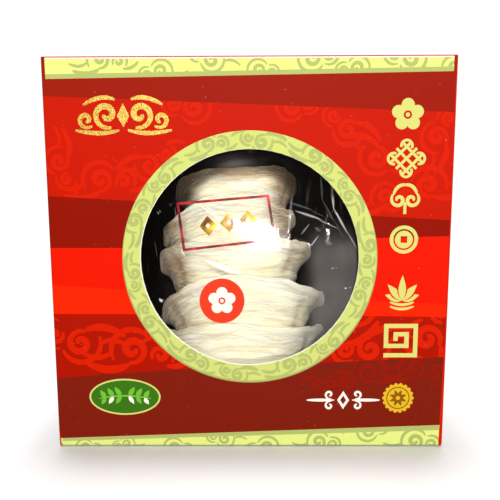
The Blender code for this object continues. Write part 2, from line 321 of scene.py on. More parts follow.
inks = {
    "gold": printed(191, 198, 107),
    # the gold of the top and bottom bands is a lighter copy of the ring's gold: painted light
    "bandGold": printed(209, 217, 118),
    "motifGold": printed(199, 196, 108),
    "olive": printed(163, 171, 98),
    "oliveLight": printed(163, 171, 98),
    "duskRed": printed(141, 22, 3),
    "signalRed": printed(180, 21, 0),
    "cloudRed": printed(195, 26, 0),
    "deepRed": printed(131, 15, 0),
    "flameRed": printed(214, 21, 0),
    "orangeRed": printed(225, 32, 0),
    "brickRed": printed(157, 17, 0),
    "scrollRed": printed(196, 27, 0),
    "maroon": printed(116, 25, 10),
    "scrollDark": printed(134, 21, 6),
    "rimTan": printed(142, 125, 74),
    "cutEdge": printed(232, 227, 206),
    "white": printed(227, 223, 210),
    "leafGreen": printed(53, 104, 19),
    "leafLight": printed(106, 172, 51),
    "sealGold": printed(208, 166, 36),
    "sealShade": printed(130, 81, 9),
    "glitter": printed(223, 180, 79),
    "stickerRed": printed(214, 52, 20),
}
# a "bare" shape shows the last of these under it again
groundInks = {"gold", "bandGold", "olive", "duskRed", "signalRed", "deepRed", "flameRed", "orangeRed",
              "brickRed", "maroon", "rimTan", "stickerRed"}


def dusted(tree, colour, kinds):  # kinds of dust, each with its scale, size, rarity, share and tone
    for scale, size, rarity, share, tone in kinds:
        mask = placeGroup(tree, specks, Scale=scale, Size=size, Rarity=rarity)["Mask"]
        colour = blendColour(tree, calc(tree, "MULTIPLY", mask, share), colour, tone)
    return colour


def sheetFinish(name, look):  # board, card or paper; without a colour it shows its printed ink
    made, tree, shader = newMaterial(name)
    colour = look.get("colour") or attributeOf(tree, "ink").outputs["Color"]
    sheet = placeGroup(tree, paper, Colour=colour, Mottle=look["mottle"], Roughness=look["roughness"],
                       Grain=look["grain"], Wave=look["wave"])
    setShader(tree, shader, Base_Color=dusted(tree, sheet["Colour"], look.get("dust", [])),
              Roughness=sheet["Roughness"], Normal=sheet["Normal"], Specular_IOR_Level=look["gloss"])
    return made


boardPrint = {
    "mottle": 0.10, "roughness": 0.5, "grain": 0.25, "wave": 2.0, "gloss": 0.04,
    "dust": [(420.0, 0.12, 0.56, 0.16, (0.85, 0.7, 0.6, 1)), (190.0, 0.035, 0.5, 0.5, (0.9, 0.8, 0.7, 1))],
}
boardCore = {"colour": printed(240, 236, 224), "mottle": 0.12, "roughness": 0.8, "grain": 0.8, "wave": 1.0,
             "gloss": 0.5}
boardInside = {"colour": printed(206, 200, 188), "mottle": 0.14, "roughness": 0.85, "grain": 0.8,
               "wave": 1.0, "gloss": 0.5}
glitter = {"dark": printed(124, 86, 18), "light": printed(226, 190, 80), "flakes": 3200.0, "metal": 0.55,
           "roughness": 0.42}


def foilBoard(look):  # hot-stamped glitter foil
    made, tree, shader = newMaterial("glitterFoil")
    cells = cellsOf(tree, look["flakes"])
    tone = blendColour(tree, remap(tree, cells["Color"], 0.15, 0.95), look["dark"], look["light"])
    setShader(tree, shader, Base_Color=tone, Metallic=look["metal"], Roughness=look["roughness"],
              Normal=bumpOf(tree, cells["Distance"], 0.5, 0.0001))
    return made


boardFinishes = [
    sheetFinish("printedBoard", boardPrint),
    foilBoard(glitter),
    sheetFinish("boardCore", boardCore),
    sheetFinish("boardInside", boardInside),
]
inkSlot, foilSlot, coreSlot, insideSlot = range(4)


def rounded(value):
    return round(float(value), 4)


class Artwork:  # polygons in painting order; the last that applies to a place gives its ink

    def __init__(self):
        self.shapes = []

    def add(self, ink, points, only=None):
        self.shapes.append((ink, only, [(rounded(x), rounded(y)) for x, y in points]))

    def line(self, ink, points, width, only=None, taper=0.45):
        # a brush line as quads, narrower at both ends
        points = np.array(points, float)
        along = np.gradient(points, axis=0)
        along /= np.linalg.norm(along, axis=1)[:, None] + 1e-9
        across = np.stack([-along[:, 1], along[:, 0]], axis=1)
        share = np.linspace(0, 1, len(points))
        half = width / 2 * (taper + (1 - taper) * np.sin(np.pi * share) ** 0.6)[:, None]
        left, right = points + across * half, points - across * half
        for k in range(len(points) - 1):
            self.add(ink, [left[k], right[k], right[k + 1], left[k + 1]], only)

    def disc(self, ink, centre, radius, sides=24, only=None, squash=1.0):
        turns = np.linspace(0, 2 * np.pi, sides, endpoint=False)
        self.add(ink, [(centre[0] + radius * math.cos(a), centre[1] + radius * squash * math.sin(a))
                       for a in turns], only)


def curl(centre, radius, turns, start, hand, inner=0.2, steps=14):
    # a spiral from its tail to its eye; start in degrees, hand 1 turns left
    count = max(4, int(abs(turns) * steps))
    line = []
    for k in range(count + 1):
        share = k / count
        reach = radius * (1 - (1 - inner) * share ** 0.85)
        angle = math.radians(start) + hand * 2 * math.pi * turns * share
        line.append((centre[0] + reach * math.cos(angle), centre[1] + reach * math.sin(angle)))
    return line


def sweep(start, pull, end, steps=10):  # a plain curved line between two points
    line = []
    for k in range(steps + 1):
        t = k / steps
        line.append(tuple((1 - t) ** 2 * a + 2 * t * (1 - t) * b + t * t * c
                          for a, b, c in zip(start, pull, end)))
    return line


def oblong(lowX, lowY, highX, highY):
    return [(lowX, lowY), (highX, lowY), (highX, highY), (lowX, highY)]


def lozenge(at, halfWide, halfHigh):
    return [(at[0], at[1] - halfHigh), (at[0] + halfWide, at[1]),
            (at[0], at[1] + halfHigh), (at[0] - halfWide, at[1])]


def placed(at, size, points, side=1):  # points in a motif's own units, where the motif stands
    return [(at[0] + side * size * x, at[1] + size * y) for x, y in points]


def cloudLines():  # a traditional cloud in its own units: two curls, echo lines and a tail
    return [
        (curl((0, 0), 1.0, 1.35, -110, 1, 0.16, 12), 0.34),
        (curl((1.85, -0.5), 0.66, 1.2, 205, -1, 0.2, 10), 0.28),
        (curl((0, 0), 1.5, 0.5, 205, -1, 0.92, 18), 0.26),
        (curl((1.85, -0.5), 1.05, 0.42, 112, -1, 0.9, 16), 0.24),
        (sweep((-0.35, -1.0), (-1.6, -1.7), (-3.2, -0.75)), 0.36),
        (sweep((-1.5, -0.1), (-2.3, -0.75), (-3.5, 0.05)), 0.24),
        (sweep((2.2, -1.3), (3.2, -1.6), (4.0, -0.8)), 0.26),
    ]


def placeCloud(art, ink, at, size, turn=0.0, flip=1, only=None, weight=1.0, bend=None):
    spin = math.radians(turn)
    for line, width in cloudLines():
        moved = []
        for x, y in line:
            x, y = x * size * flip, y * size
            x, y = x * math.cos(spin) - y * math.sin(spin), x * math.sin(spin) + y * math.cos(spin)
            moved.append(bend(at, x, y) if bend else (at[0] + x, at[1] + y))
        art.line(ink, moved, width * size * weight, only)


# Carton

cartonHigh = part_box("carton")[1] / mm
carton = {
    "foldRadius": 0.9,
    "foldSteps": 4,
    "wallTop": 177.1,
    "frontTop": 177.7,
    "windowDiameter": 98.2,
    "windowHeight": 89.0,
    "windowSides": 64,
    "ringDiameter": 114.6,
    "ringSides": 128,
    "goldInset": 1.8,  # the gold bands stop this far short of the front's side edges
    "oliveLines": {1: (2.0, 2.0), -1: (1.5, 2.5)},  # left and right width, top and bottom band
    "topLines": [("white", 0.95, 0.4), ("signalRed", 0.4, 0.0)],  # ink, from and to below the top edge
    "foldStrips": {-1: 7.0, 1: 177.7},  # how high the red strips along the side folds reach; the right one runs to the top in bright red, painted light on the lit side
}
halfX, halfY = cartonHigh.x, cartonHigh.y
flatX, flatY = halfX - carton["foldRadius"], halfY - carton["foldRadius"]
foldArc = carton["foldRadius"] * math.pi / 2
sideStart = flatX + foldArc
backStart = sideStart + 2 * flatY + foldArc
halfTurn = backStart + flatX  # half the way round the carton
lowestArt = carton["foldRadius"] - foldArc


def wrapCarton(u, v):
    # unrolled board to its place: u runs round from the middle of the front, v up
    radius = carton["foldRadius"]
    bottomTurn = min(max(radius - v, 0) / radius, math.pi / 2)
    reach = radius * math.cos(bottomTurn)
    z = v if v >= radius else radius - radius * math.sin(bottomTurn)
    side = 1 if u >= 0 else -1
    along = abs(u)
    if along <= flatX:
        x, y = along, -flatY - reach
    elif along <= sideStart:
        turn = (along - flatX) / radius
        x, y = flatX + reach * math.sin(turn), -flatY - reach * math.cos(turn)
    elif along <= sideStart + 2 * flatY:
        x, y = flatX + reach, along - sideStart - flatY
    elif along <= backStart:
        turn = (along - sideStart - 2 * flatY) / radius
        x, y = flatX + reach * math.cos(turn), flatY + reach * math.sin(turn)
    else:
        x, y = halfTurn - along, flatY + reach
    return Vector((side * x, y, z)) * mm


# Lower edge of each band on the front, as (x, z) in mm, and the ink above it, from the bottom up
bandEdges = [
    ("maroon", [(-89.1, 3.9), (89.1, 10.4)]),
    ("brickRed", [(-89.1, 33.4), (-37, 37.2), (41, 41.0), (89.1, 43.3)]),
    ("orangeRed", [(-89.1, 63.9), (-57, 63.8), (56, 62.7), (89.1, 62.2)]),
    ("flameRed", [(-89.1, 77.4), (-57, 75.0), (58, 69.7), (89.1, 68.2)]),
    ("deepRed", [(-89.1, 94.4), (-56, 94.3), (56, 98.5), (89.1, 99.3)]),
    ("signalRed", [(-89.1, 117.7), (-51, 115.4), (56, 108.4), (89.1, 106.5)]),
    ("duskRed", [(-89.1, 161.1), (89.1, 153.6)]),
]
topGoldEdge = [(-89.1, 168.3), (89.1, 170.9)]
bottomGoldEdge = bandEdges[0][1]


seamX = 57  # where the band edges bend on the back


def wrappedEdge(points, lift=0.0):  # a band edge all the way round; the back repeats the front
    xs, zs = zip(*points)
    knots = [-flatX, -seamX, 0, seamX, flatX]
    heights = {x: float(np.interp(x, xs, zs)) + lift for x in knots}
    left = [(-halfTurn - x, heights[x]) for x in (0, -seamX, -flatX)]
    right = [(halfTurn - x, heights[x]) for x in (flatX, seamX, 0)]
    return left + [(x, z + lift) for x, z in points] + right


def paintBands(art):
    top = carton["frontTop"]
    for ink, points in bandEdges:
        edge = wrappedEdge(points)
        art.add(ink, edge + [(halfTurn, top), (-halfTurn, top)])
    inset = halfX - carton["goldInset"]
    for middle, ends in ((0, (-inset, inset)), (1, (0, inset)), (-1, (-inset, 0))):
        # the front, and the two halves of the back
        def place(x, z):
            return (x, z) if middle == 0 else (middle * halfTurn - x, z)

        for goldEdge, far, toward in ((topGoldEdge, top, 1), (bottomGoldEdge, lowestArt, -1)):
            xs, zs = zip(*goldEdge)
            heights = [float(np.interp(x, xs, zs)) for x in ends]
            outer = [place(x, far) for x in reversed(ends)]
            lines = carton["oliveLines"][toward]
            widths = [float(np.interp(x, (-inset, inset), lines)) for x in ends]
            art.add("olive", [place(x, z) for x, z in zip(ends, heights)] + outer)
            inner = [place(x, z + toward * line) for x, z, line in zip(ends, heights, widths)]
            art.add("bandGold", inner + outer)
        for ink, low, high in carton["topLines"]:
            art.add(ink, [place(x, z) for x, z in oblong(ends[0], top - low, ends[1], top - high)])
    for side, reach in carton["foldStrips"].items():  # red shows beside the darker bands; the full-height strip on the right is painted light
        fold = flatX + foldArc
        art.add("scrollRed", [(side * (inset - 0.1), lowestArt), (side * fold, lowestArt),
                              (side * fold, reach), (side * (flatX + 0.1), reach),
                              (side * (flatX + 0.1), 0.3 * reach)])


# Scrolls on the front, as (x, z, size in mm, turn in degrees, flip)
bandClouds = {
    ("oliveLight", "bandGold"): [
        (-64, 176.5, 4.0, 8, 1), (-38, 171.5, 3.4, 0, -1), (-16, 176.0, 3.6, 170, 1), (4, 171.8, 3.2, 4, 1),
        (27, 176.5, 4.0, 176, -1), (47, 172.6, 3.4, -4, -1), (70, 176.3, 4.2, 182, 1), (88, 172.5, 3.4, 0, 1),
        (-78, -0.6, 2.8, 4, 1), (-58, 1.2, 2.4, 0, -1), (-36, -0.6, 3.2, 2, 1), (-12, 3.4, 3.0, 180, 1),
        (8, -0.5, 3.6, 0, -1), (32, 2.2, 3.6, 3, 1), (55, 7.2, 3.4, 184, -1), (77, 2.4, 4.2, 4, 1),
    ],
    ("cloudRed", "signalRed"): [
        (-66, 125, 5.4, 10, 1), (-84, 133, 4.4, 96, -1), (-44, 131, 4.6, 200, -1), (-24, 156, 4.8, 186, 1),
        (18, 156, 4.2, 174, -1), (43, 146, 4.6, 150, 1), (56, 134, 5.2, 160, -1), (82, 143, 4.8, 74, 1),
        (60, 117, 4.2, 14, 1), (79, 122, 5.6, 12, -1),
    ],
    ("scrollRed", "brickRed"): [
        (-78, 50, 6.4, 176, 1), (-54, 47, 6.8, 4, 1), (-31, 52, 5.6, 186, -1), (38, 54, 6.6, 30, -1),
        (55, 47, 6.0, 196, 1), (81, 52, 6.8, 80, 1),
    ],
    ("scrollDark", "maroon"): [(55, 36, 5.4, 20, -1), (76, 38, 5.0, -8, 1), (38, 31, 3.4, 190, 1)],
}
cloudWeights = {"oliveLight": 1.45, "cloudRed": 1.55, "scrollRed": 1.55, "scrollDark": 1.2}
sideClouds = [(134, 6.0, "cloudRed", "signalRed"), (49, 6.4, "scrollRed", "brickRed")]  # height, size, inks


def paintClouds(art):
    for (ink, ground), places in bandClouds.items():
        for x, z, size, turn, flip in places:
            behind = halfTurn - x if x >= 0 else -halfTurn - x
            placeCloud(art, ink, (x, z), size, turn, flip, ground, cloudWeights[ink])
            placeCloud(art, ink, (behind, z), size, -turn, -flip, ground, cloudWeights[ink])
    for side in (-1, 1):
        middle = side * (sideStart + flatY)
        for z, size, ink, ground in sideClouds:
            placeCloud(art, ink, (middle - 12, z), size, 8, side, ground)
            placeCloud(art, ink, (middle + 17, z + 6), 0.7 * size, 186, side, ground)


ringClouds = {"count": 14, "radius": 53.4, "size": 3.3, "sizeSwing": 0.12, "weight": 1.8, "shift": 6}


def paintRing(art):
    centre = (0, carton["windowHeight"])
    radius, sides = carton["ringDiameter"] / 2, carton["ringSides"]
    for ink, rise, spread in (("rimTan", -0.5, 0.15), ("olive", -0.3, 0.0), ("gold", 0.2, -0.35)):
        art.disc(ink, (0, centre[1] + rise), radius + spread, sides)

    def bend(at, x, y):  # along and across the ring
        angle = math.radians(at[0]) + x / ringClouds["radius"]
        reach = ringClouds["radius"] + at[1] + y
        return (centre[0] + reach * math.sin(angle), centre[1] + reach * math.cos(angle))

    for k in range(ringClouds["count"]):
        angle = 360 * k / ringClouds["count"] + ringClouds["shift"]
        outward = 1 if k % 2 else -1
        size = ringClouds["size"] * (1.0 + ringClouds["sizeSwing"] * math.sin(2.4 * k))
        placeCloud(art, "oliveLight", (angle, 1.0 * outward), size, 90 - 90 * outward, 1, "gold",
                   ringClouds["weight"], bend)
    # the window's pale cut edge shows at the lower left
    art.disc("cutEdge", (-0.14, centre[1] - 0.16), carton["windowDiameter"] / 2 + 0.22, sides)


columnMotifs = {  # the right-hand column of traditional motifs, as (height, size) in mm
    "x": 69.0,
    "places": [(152.6, 7.6), (133.7, 7.2), (115.9, 7.0), (97.8, 7.4), (74.3, 8.6), (51.3, 8.4)],
}


def plumBlossom(art, ink, at, size):
    for k in range(5):
        turn = math.radians(90 + 72 * k)
        art.disc(ink, (at[0] + 0.56 * size * math.cos(turn), at[1] + 0.56 * size * math.sin(turn)),
                 0.38 * size, 16)
    art.disc("bare", at, 0.24 * size, 14)
    art.disc(ink, at, 0.13 * size, 12)


def endlessKnot(art, ink, at, size):
    for shift in (-0.36, 0.0, 0.36):
        for strand in ([(shift - 0.62, -shift - 0.62), (shift + 0.62, 0.62 - shift)],
                       [(shift - 0.62, shift + 0.62), (shift + 0.62, shift - 0.62)]):
            art.line(ink, placed(at, size, strand), 0.17 * size, taper=1.0)
    loop = curl((0.78, 0), 0.34, 0.62, 118, -1, 1.0, 16)
    for side in (-1, 1):
        for strand in ([(side * x, y) for x, y in loop], [(y, side * x) for x, y in loop]):
            art.line(ink, placed(at, size, strand), 0.16 * size, taper=1.0)


def ruyiHead(art, ink, at, size):
    lobe = curl((0.42, -0.05), 0.52, 1.25, 60, -1, 0.18, 16)
    crown = sweep((0.0, 0.9), (0.5, 0.95), (0.72, 0.38))
    for side in (-1, 1):
        art.line(ink, placed(at, size, lobe, side), 0.24 * size)
        art.line(ink, placed(at, size, crown, side), 0.22 * size, taper=0.7)
    art.line(ink, placed(at, size, [(0, -0.2), (0, -0.95)]), 0.24 * size, taper=0.8)


def luckyCoin(art, ink, at, size):
    art.disc(ink, at, 0.86 * size, 40)
    art.disc("bare", at, 0.64 * size, 36)
    art.disc(ink, at, 0.54 * size, 32)
    half = 0.2 * size
    art.add("bare", oblong(at[0] - half, at[1] - half, at[0] + half, at[1] + half))


def petal(at, angle, length, width, steps=8):  # a pointed leaf shape that starts at a point
    turn = math.radians(angle)
    outline = []
    for side in (1, -1):
        for k in range(steps):
            share = k / steps if side == 1 else 1 - k / steps
            x, y = length * share, side * width / 2 * math.sin(math.pi * share ** 0.8)
            outline.append((at[0] + x * math.cos(turn) - y * math.sin(turn),
                            at[1] + x * math.sin(turn) + y * math.cos(turn)))
    return outline


def lotusFlower(art, ink, at, size):
    root = (at[0], at[1] - 0.5 * size)
    for angle, length in ((18, 0.95), (162, 0.95), (48, 1.15), (132, 1.15), (90, 1.35)):
        art.add("bare", petal(root, angle, 1.12 * length * size, 0.56 * size))
        art.add(ink, petal(root, angle, length * size, 0.4 * size))
    half = 0.62 * size
    for level in (0.72, 0.95):
        tips = at[1] - (level - 0.12) * size
        dip = (at[0], at[1] - (level + 0.16) * size)
        art.line(ink, sweep((at[0] - half, tips), dip, (at[0] + half, tips)), 0.15 * size)


def squareFret(art, ink, at, size):
    corners = [(-0.8, -0.85), (0.8, -0.85), (0.8, 0.8), (-0.8, 0.8), (-0.8, -0.32), (0.32, -0.32),
               (0.32, 0.34), (-0.28, 0.34), (-0.28, 0.08)]
    half = 0.12
    for (ax, ay), (bx, by) in zip(corners, corners[1:]):
        stroke = oblong(min(ax, bx) - half, min(ay, by) - half, max(ax, bx) + half, max(ay, by) + half)
        art.add(ink, placed(at, size, stroke))


def paintOrnaments(art):
    motifs = [plumBlossom, endlessKnot, ruyiHead, luckyCoin, lotusFlower, squareFret]
    for motif, (height, size) in zip(motifs, columnMotifs["places"]):
        motif(art, "motifGold", (columnMotifs["x"], height), size)
    paintFoilCloud(art, (-55, 152.5), 6.4)
    paintLeafPlaque(art, (-58.3, 24.2), 16.6, 8.8)
    paintWhiteRule(art, (43.2, 22.6), 17.0)
    paintSeal(art, (68.6, 23.6), 7.1)


def paintFoilCloud(art, at, size):  # glitter foil: a lozenge between two mirrored clouds
    for side in (-1, 1):
        for line, width in (
            (curl((1.15, 0.1), 0.95, 1.3, 250, 1, 0.16, 18), 0.42),
            (curl((2.55, -0.25), 0.6, 1.15, 225, 1, 0.2, 14), 0.32),
            (sweep((0.3, -0.95), (1.6, -1.35), (3.3, -0.95)), 0.3),
            (sweep((0.55, 1.1), (1.5, 1.5), (2.7, 0.75)), 0.3),
        ):
            art.line("glitter", placed(at, size, line, side), width * size)
    art.add("glitter", placed(at, size, [(0, -0.75), (0.42, 0), (0, 0.85), (-0.42, 0)]))


def paintLeafPlaque(art, at, halfWide, halfHigh):  # a green oval with a leaf sprig
    border = 0.8
    art.disc("motifGold", at, halfWide, 48, squash=halfHigh / halfWide)
    art.disc("leafGreen", at, halfWide - border, 48, squash=(halfHigh - border) / (halfWide - border))
    stalk = sweep((at[0] - 12, at[1] - 0.8), (at[0], at[1] + 1.8), (at[0] + 12, at[1] - 0.8))
    art.line("leafLight", stalk, 0.9)
    for k, x in enumerate((-9, -5.4, -1.8, 1.8, 5.4, 9)):
        lean = 58 if x > 0 else 122
        stem = (at[0] + x, at[1] + 0.45 - 0.012 * x * x)
        short = 0.12 * abs(x)
        art.add("leafLight", petal(stem, lean, 5.6 - short, 2.3))
        art.add("white" if k % 2 else "leafLight", petal(stem, -lean, 4.8 - short, 2.0))


def paintWhiteRule(art, at, half):  # a plain lozenge between two tapering lines
    hook = curl((6.4, 2.7), 2.3, 1.1, 250, 1, 0.2)
    for side in (-1, 1):
        art.line("white", [(at[0] + side * x, at[1]) for x in np.linspace(4.2, half, 8)], 1.5, taper=0.3)
        for up in (1, -1):
            art.line("white", [(at[0] + side * x, at[1] + up * y) for x, y in hook], 1.1)
    art.add("white", lozenge(at, 2.8, 4.4))
    art.add("bare", lozenge(at, 1.4, 2.2))


def paintSeal(art, at, radius):  # a gold rosette
    for k in range(18):
        turn = math.radians(20 * k)
        bead = (at[0] + 0.9 * radius * math.cos(turn), at[1] + 0.9 * radius * math.sin(turn))
        art.disc("sealGold", bead, 0.13 * radius, 10)
    art.disc("sealGold", at, 0.92 * radius, 48)
    art.disc("sealShade", at, 0.76 * radius, 40)
    art.disc("sealGold", at, 0.69 * radius, 40)
    for k in range(8):
        art.add("sealShade", petal(at, 45 * k + 22.5, 0.6 * radius, 0.24 * radius))
    art.disc("sealGold", at, 0.14 * radius, 12)


cutGap = 0.0005  # mm, below which the cutter takes two points for one
weldGap = 0.00001  # m


def inkOnTop(layers, base):  # the ink that shows where these layers lie over each other
    ground = shown = base
    for ink, only in layers:
        if only is None:
            if ink in groundInks:
                ground = ink
            shown = ground if ink == "bare" else ink
        elif only == shown:
            shown = ink
    return shown


def printSheet(art, base, outline, guides, hole=None):
    # cuts the sheet into faces of one ink each, with extra lines where it will bend
    points, faces, owners = [], [], []

    def addFace(corners, owner):
        turns = zip(corners, corners[1:] + corners[:1])
        if sum(a[0] * b[1] - b[0] * a[1] for a, b in turns) < 0:  # the cutter wants them left-turning
            corners = corners[::-1]
        faces.append(list(range(len(points), len(points) + len(corners))))
        points.extend(Vector(corner) for corner in corners)
        owners.append(owner)

    addFace(outline, "sheet")
    if hole:
        addFace(hole, "hole")
    for ink, only, shape in art.shapes:
        addFace(shape, (ink, only))
    edges = []
    for start, end in guides:
        edges.append((len(points), len(points) + 1))
        points.extend((Vector(start), Vector(end)))
    flat, _, tris, _, _, sources = delaunay_2d_cdt(points, edges, faces, 0, cutGap)
    kept, colours = [], []
    for tri, source in zip(tris, sources):
        found = [owners[k] for k in sorted(source)]
        if "sheet" not in found or "hole" in found:
            continue
        kept.append(list(tri))
        colours.append(inkOnTop([owner for owner in found if isinstance(owner, tuple)], base))
    used = sorted({index for tri in kept for index in tri})
    place = {index: order for order, index in enumerate(used)}
    return [flat[index] for index in used], [[place[index] for index in tri] for tri in kept], colours


def isCartonSkin(face):  # the outside of the walls and folds, which the printed sheet takes over
    if abs(face.normal.z) > 0.9:
        return False
    radius = carton["foldRadius"]
    for vert in face.verts:
        x, y, z = vert.co / mm
        away = Vector((max(abs(x) - flatX, 0), max(abs(y) - flatY, 0), max(radius - z, 0)))
        if abs(away.length - radius) > 0.06:
            return False
    return True


def buildCarton():
    art = Artwork()
    paintBands(art)
    paintClouds(art)
    paintRing(art)
    paintOrnaments(art)
    top, frontTop = carton["wallTop"], carton["frontTop"]
    frontEnd = flatX + carton["foldRadius"] * math.acos(1 / 3)  # where the front's higher edge ends
    outline = [(-halfTurn, lowestArt), (halfTurn, lowestArt), (halfTurn, top), (frontEnd, top),
               (frontEnd, frontTop), (-frontEnd, frontTop), (-frontEnd, top), (-halfTurn, top)]
    guides = []
    steps = carton["foldSteps"]
    for step in range(steps + 1):
        bend = foldArc * step / steps
        for u in (flatX + bend, sideStart + 2 * flatY + bend):
            guides += [((u, lowestArt), (u, frontTop)), ((-u, lowestArt), (-u, frontTop))]
        v = lowestArt + bend
        guides.append(((-halfTurn, v), (halfTurn, v)))
    sides = carton["windowSides"]
    radius = carton["windowDiameter"] / 2
    hole = [(radius * math.sin(2 * math.pi * k / sides),
             carton["windowHeight"] + radius * math.cos(2 * math.pi * k / sides)) for k in range(sides)]
    flat, tris, colours = printSheet(art, "gold", outline, guides, hole)
    points = [wrapCarton(*point) for point in flat]
    slots = [foilSlot if ink == "glitter" else inkSlot for ink in colours]
    shades = [inks[ink] for ink in colours]

    body = bmesh.new()
    body.from_mesh(nodes["carton"].data)
    bmesh.ops.delete(body, geom=[face for face in body.faces if isCartonSkin(face)], context="FACES")
    offset = len(points)
    body.verts.index_update()
    points += [vert.co.copy() for vert in body.verts]
    windowReach = (radius + 1) * mm
    for face in body.faces:
        tris.append([offset + vert.index for vert in face.verts])
        middle = face.calc_center_median()
        nearWindow = Vector((middle.x, 0, middle.z - carton["windowHeight"] * mm)).length < windowReach
        cutEdge = (nearWindow and abs(face.normal.y) < 0.5 and middle.y < -0.031) or (
            face.normal.z > 0.9 and face.calc_area() < 0.0004)
        outside = middle.z < 0.0005 and face.normal.z < -0.9
        slots.append(coreSlot if cutEdge else inkSlot if outside else insideSlot)
        shades.append(inks["maroon"] if outside else (1, 1, 1, 1))
    body.free()
    piece = newPiece("cartonBoard", points, tris, boardFinishes, slots, shades)
    weld(piece, weldGap)
    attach(piece, "carton")
    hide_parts("carton")
    return piece


cartonPiece = buildCarton()
print("stage 2: carton board,", len(cartonPiece.data.polygons), "faces")


# Lid: the same board, with quiet clouds on top

lidClouds = [(-62, 20, 6.5, 8, 1), (-20, 40, 6.0, 186, 1), (24, 22, 6.5, 4, -1), (64, 42, 6.0, 182, -1)]


def buildLid():
    low, high = (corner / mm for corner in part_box("lid"))
    fold = carton["foldRadius"]
    art = Artwork()
    for x, y, size, turn, flip in lidClouds:
        placeCloud(art, "cloudRed", (x, y), size, turn, flip, "signalRed")
    depth = high.y - (low.y + fold)
    flat, tris, colours = printSheet(art, "signalRed", oblong(low.x, 0, high.x, depth), [])
    points = [Vector((u, low.y + fold + v, high.z)) * mm for u, v in flat]
    slots = [inkSlot] * len(tris)
    shades = [inks[ink] for ink in colours]
    body = bmesh.new()
    body.from_mesh(nodes["lid"].data)
    top = [face for face in body.faces
           if face.normal.z > 0.99 and face.calc_center_median().z > high.z * mm - weldGap]
    bmesh.ops.delete(body, geom=top, context="FACES")
    body.verts.index_update()
    offset = len(points)
    points += [vert.co.copy() for vert in body.verts]
    for face in body.faces:
        tris.append([offset + vert.index for vert in face.verts])
        outer = face.normal.y < -0.15 or face.normal.z > 0.1
        edge = abs(face.normal.x) > 0.4 or face.calc_area() < 0.00011 and not outer
        slots.append(inkSlot if outer else coreSlot if edge else insideSlot)
        shades.append(inks["signalRed"] if outer else (1, 1, 1, 1))
    body.free()
    piece = newPiece("lidBoard", points, tris, boardFinishes, slots, shades)
    weld(piece, weldGap)
    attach(piece, "lid")
    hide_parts("lid")
    return piece


lidPiece = buildLid()
print("stage 3: lid,", len(lidPiece.data.polygons), "faces")


# Window film and black card tray: the CAD nodes stay and get their finishes

# the clear film's brown tint is a painted reflection of the warm board round it
windowFilm = {"colour": (0.12, 0.1, 0.08, 1), "alpha": 0.008, "roughness": 0.08}
trayCard = {
    "colour": printed(13, 9, 7), "mottle": 0.35, "roughness": 0.85, "grain": 0.9, "wave": 1.0, "gloss": 0.06,
    "dust": [(300.0, 0.16, 0.5, 0.4, (0.75, 0.72, 0.68, 1))],
}


def clearFilm():
    made, tree, shader = newMaterial("clearFilm")
    ripple = noiseOf(tree, stretched(tree), 60.0, 2.0)
    setShader(tree, shader, Base_Color=windowFilm["colour"], Alpha=windowFilm["alpha"],
              Roughness=windowFilm["roughness"], Normal=bumpOf(tree, ripple, 0.2, 0.0004))
    return made


for name, made in (("window_film", clearFilm()), ("tray", sheetFinish("blackCard", trayCard))):
    nodes[name].data.materials.clear()
    nodes[name].data.materials.append(made)
print("stage 4: window film and tray")


# Nests: half cups of dried strands that run from ear to ear

nestForm = {
    "wall": 3.4,
    "rimWall": 0.9,
    "flare": 0.9,
    "pinch": 0.13,  # how far the sides draw in below the ears
    "pinchEnd": 0.22,
    "columns": 120,
    "rows": 190,
    "fine": 0.03,  # relief of single strands, mm
    "strand": 0.08,
    "fold": 0.9,
    "rimWave": 1.2,
    "earRound": 4.6,
    "looseStrands": 150,
}
nestShade = {  # painted shade, 0 to 1: darker in the grooves between strands and in creases
    "plain": 0.33, "fine": 0.13, "strand": 0.18, "layer": 0.12, "crease": 0.16,
    "sides": (0.42, 0.88),  # from where to where the painted shade on the sides begins, across
    "rim": (0.035, 0.11),  # from where to where the painted shade under the rim fades, below the rim
}
nestStack = [  # lowest first, in mm, as the solids; the painted shade darkens the rim and the left and right side
    dict(x=-4.5, base=2.6, width=86, depth=40.5, height=53.2, front=-24.4, sway=1.2, drop=(14, 8),
         paintedRimShade=0.0, paintedSideShade=(0.3, 0.0)),
    dict(x=-4.2, base=26.5, width=86, depth=37.0, height=52.7, front=-21.0, sway=1.5, drop=(27, 17),
         paintedRimShade=0.0, paintedSideShade=(0.55, 0.08)),
    dict(x=-7.8, base=44.8, width=79, depth=33.0, height=51.8, front=-17.5, sway=1.2, drop=(17, 9),
         paintedRimShade=0.05, paintedSideShade=(0.8, 0.3)),
    dict(x=-11.0, base=62.6, width=69, depth=30.2, height=51.7, front=-14.4, sway=1.4, drop=(20, 10),
         paintedRimShade=0.1, paintedSideShade=(0.55, 0.7)),
    dict(x=-7.2, base=80.4, width=62, depth=27.2, height=50.0, front=-11.5, sway=1.0, drop=(14.5, 9),
         paintedRimShade=0.62, paintedSideShade=(0.65, 0.8)),
]
nestCreases = {  # folds that run down a nest, as (across, lean, depth, width in mm)
    1: [(0.79, 0.10, 0.9, 4.0), (0.12, -0.08, 0.7, 3.4)],
    2: [(0.765, 0.05, 0.9, 4.6), (0.17, 0.10, 0.8, 4.2)],
    3: [(0.80, -0.14, 0.7, 4.8), (0.20, 0.12, 0.7, 4.4)],
    4: [(0.22, 0.10, 0.7, 4.0)],
    5: [(0.84, 0.10, 0.7, 3.4)],
}


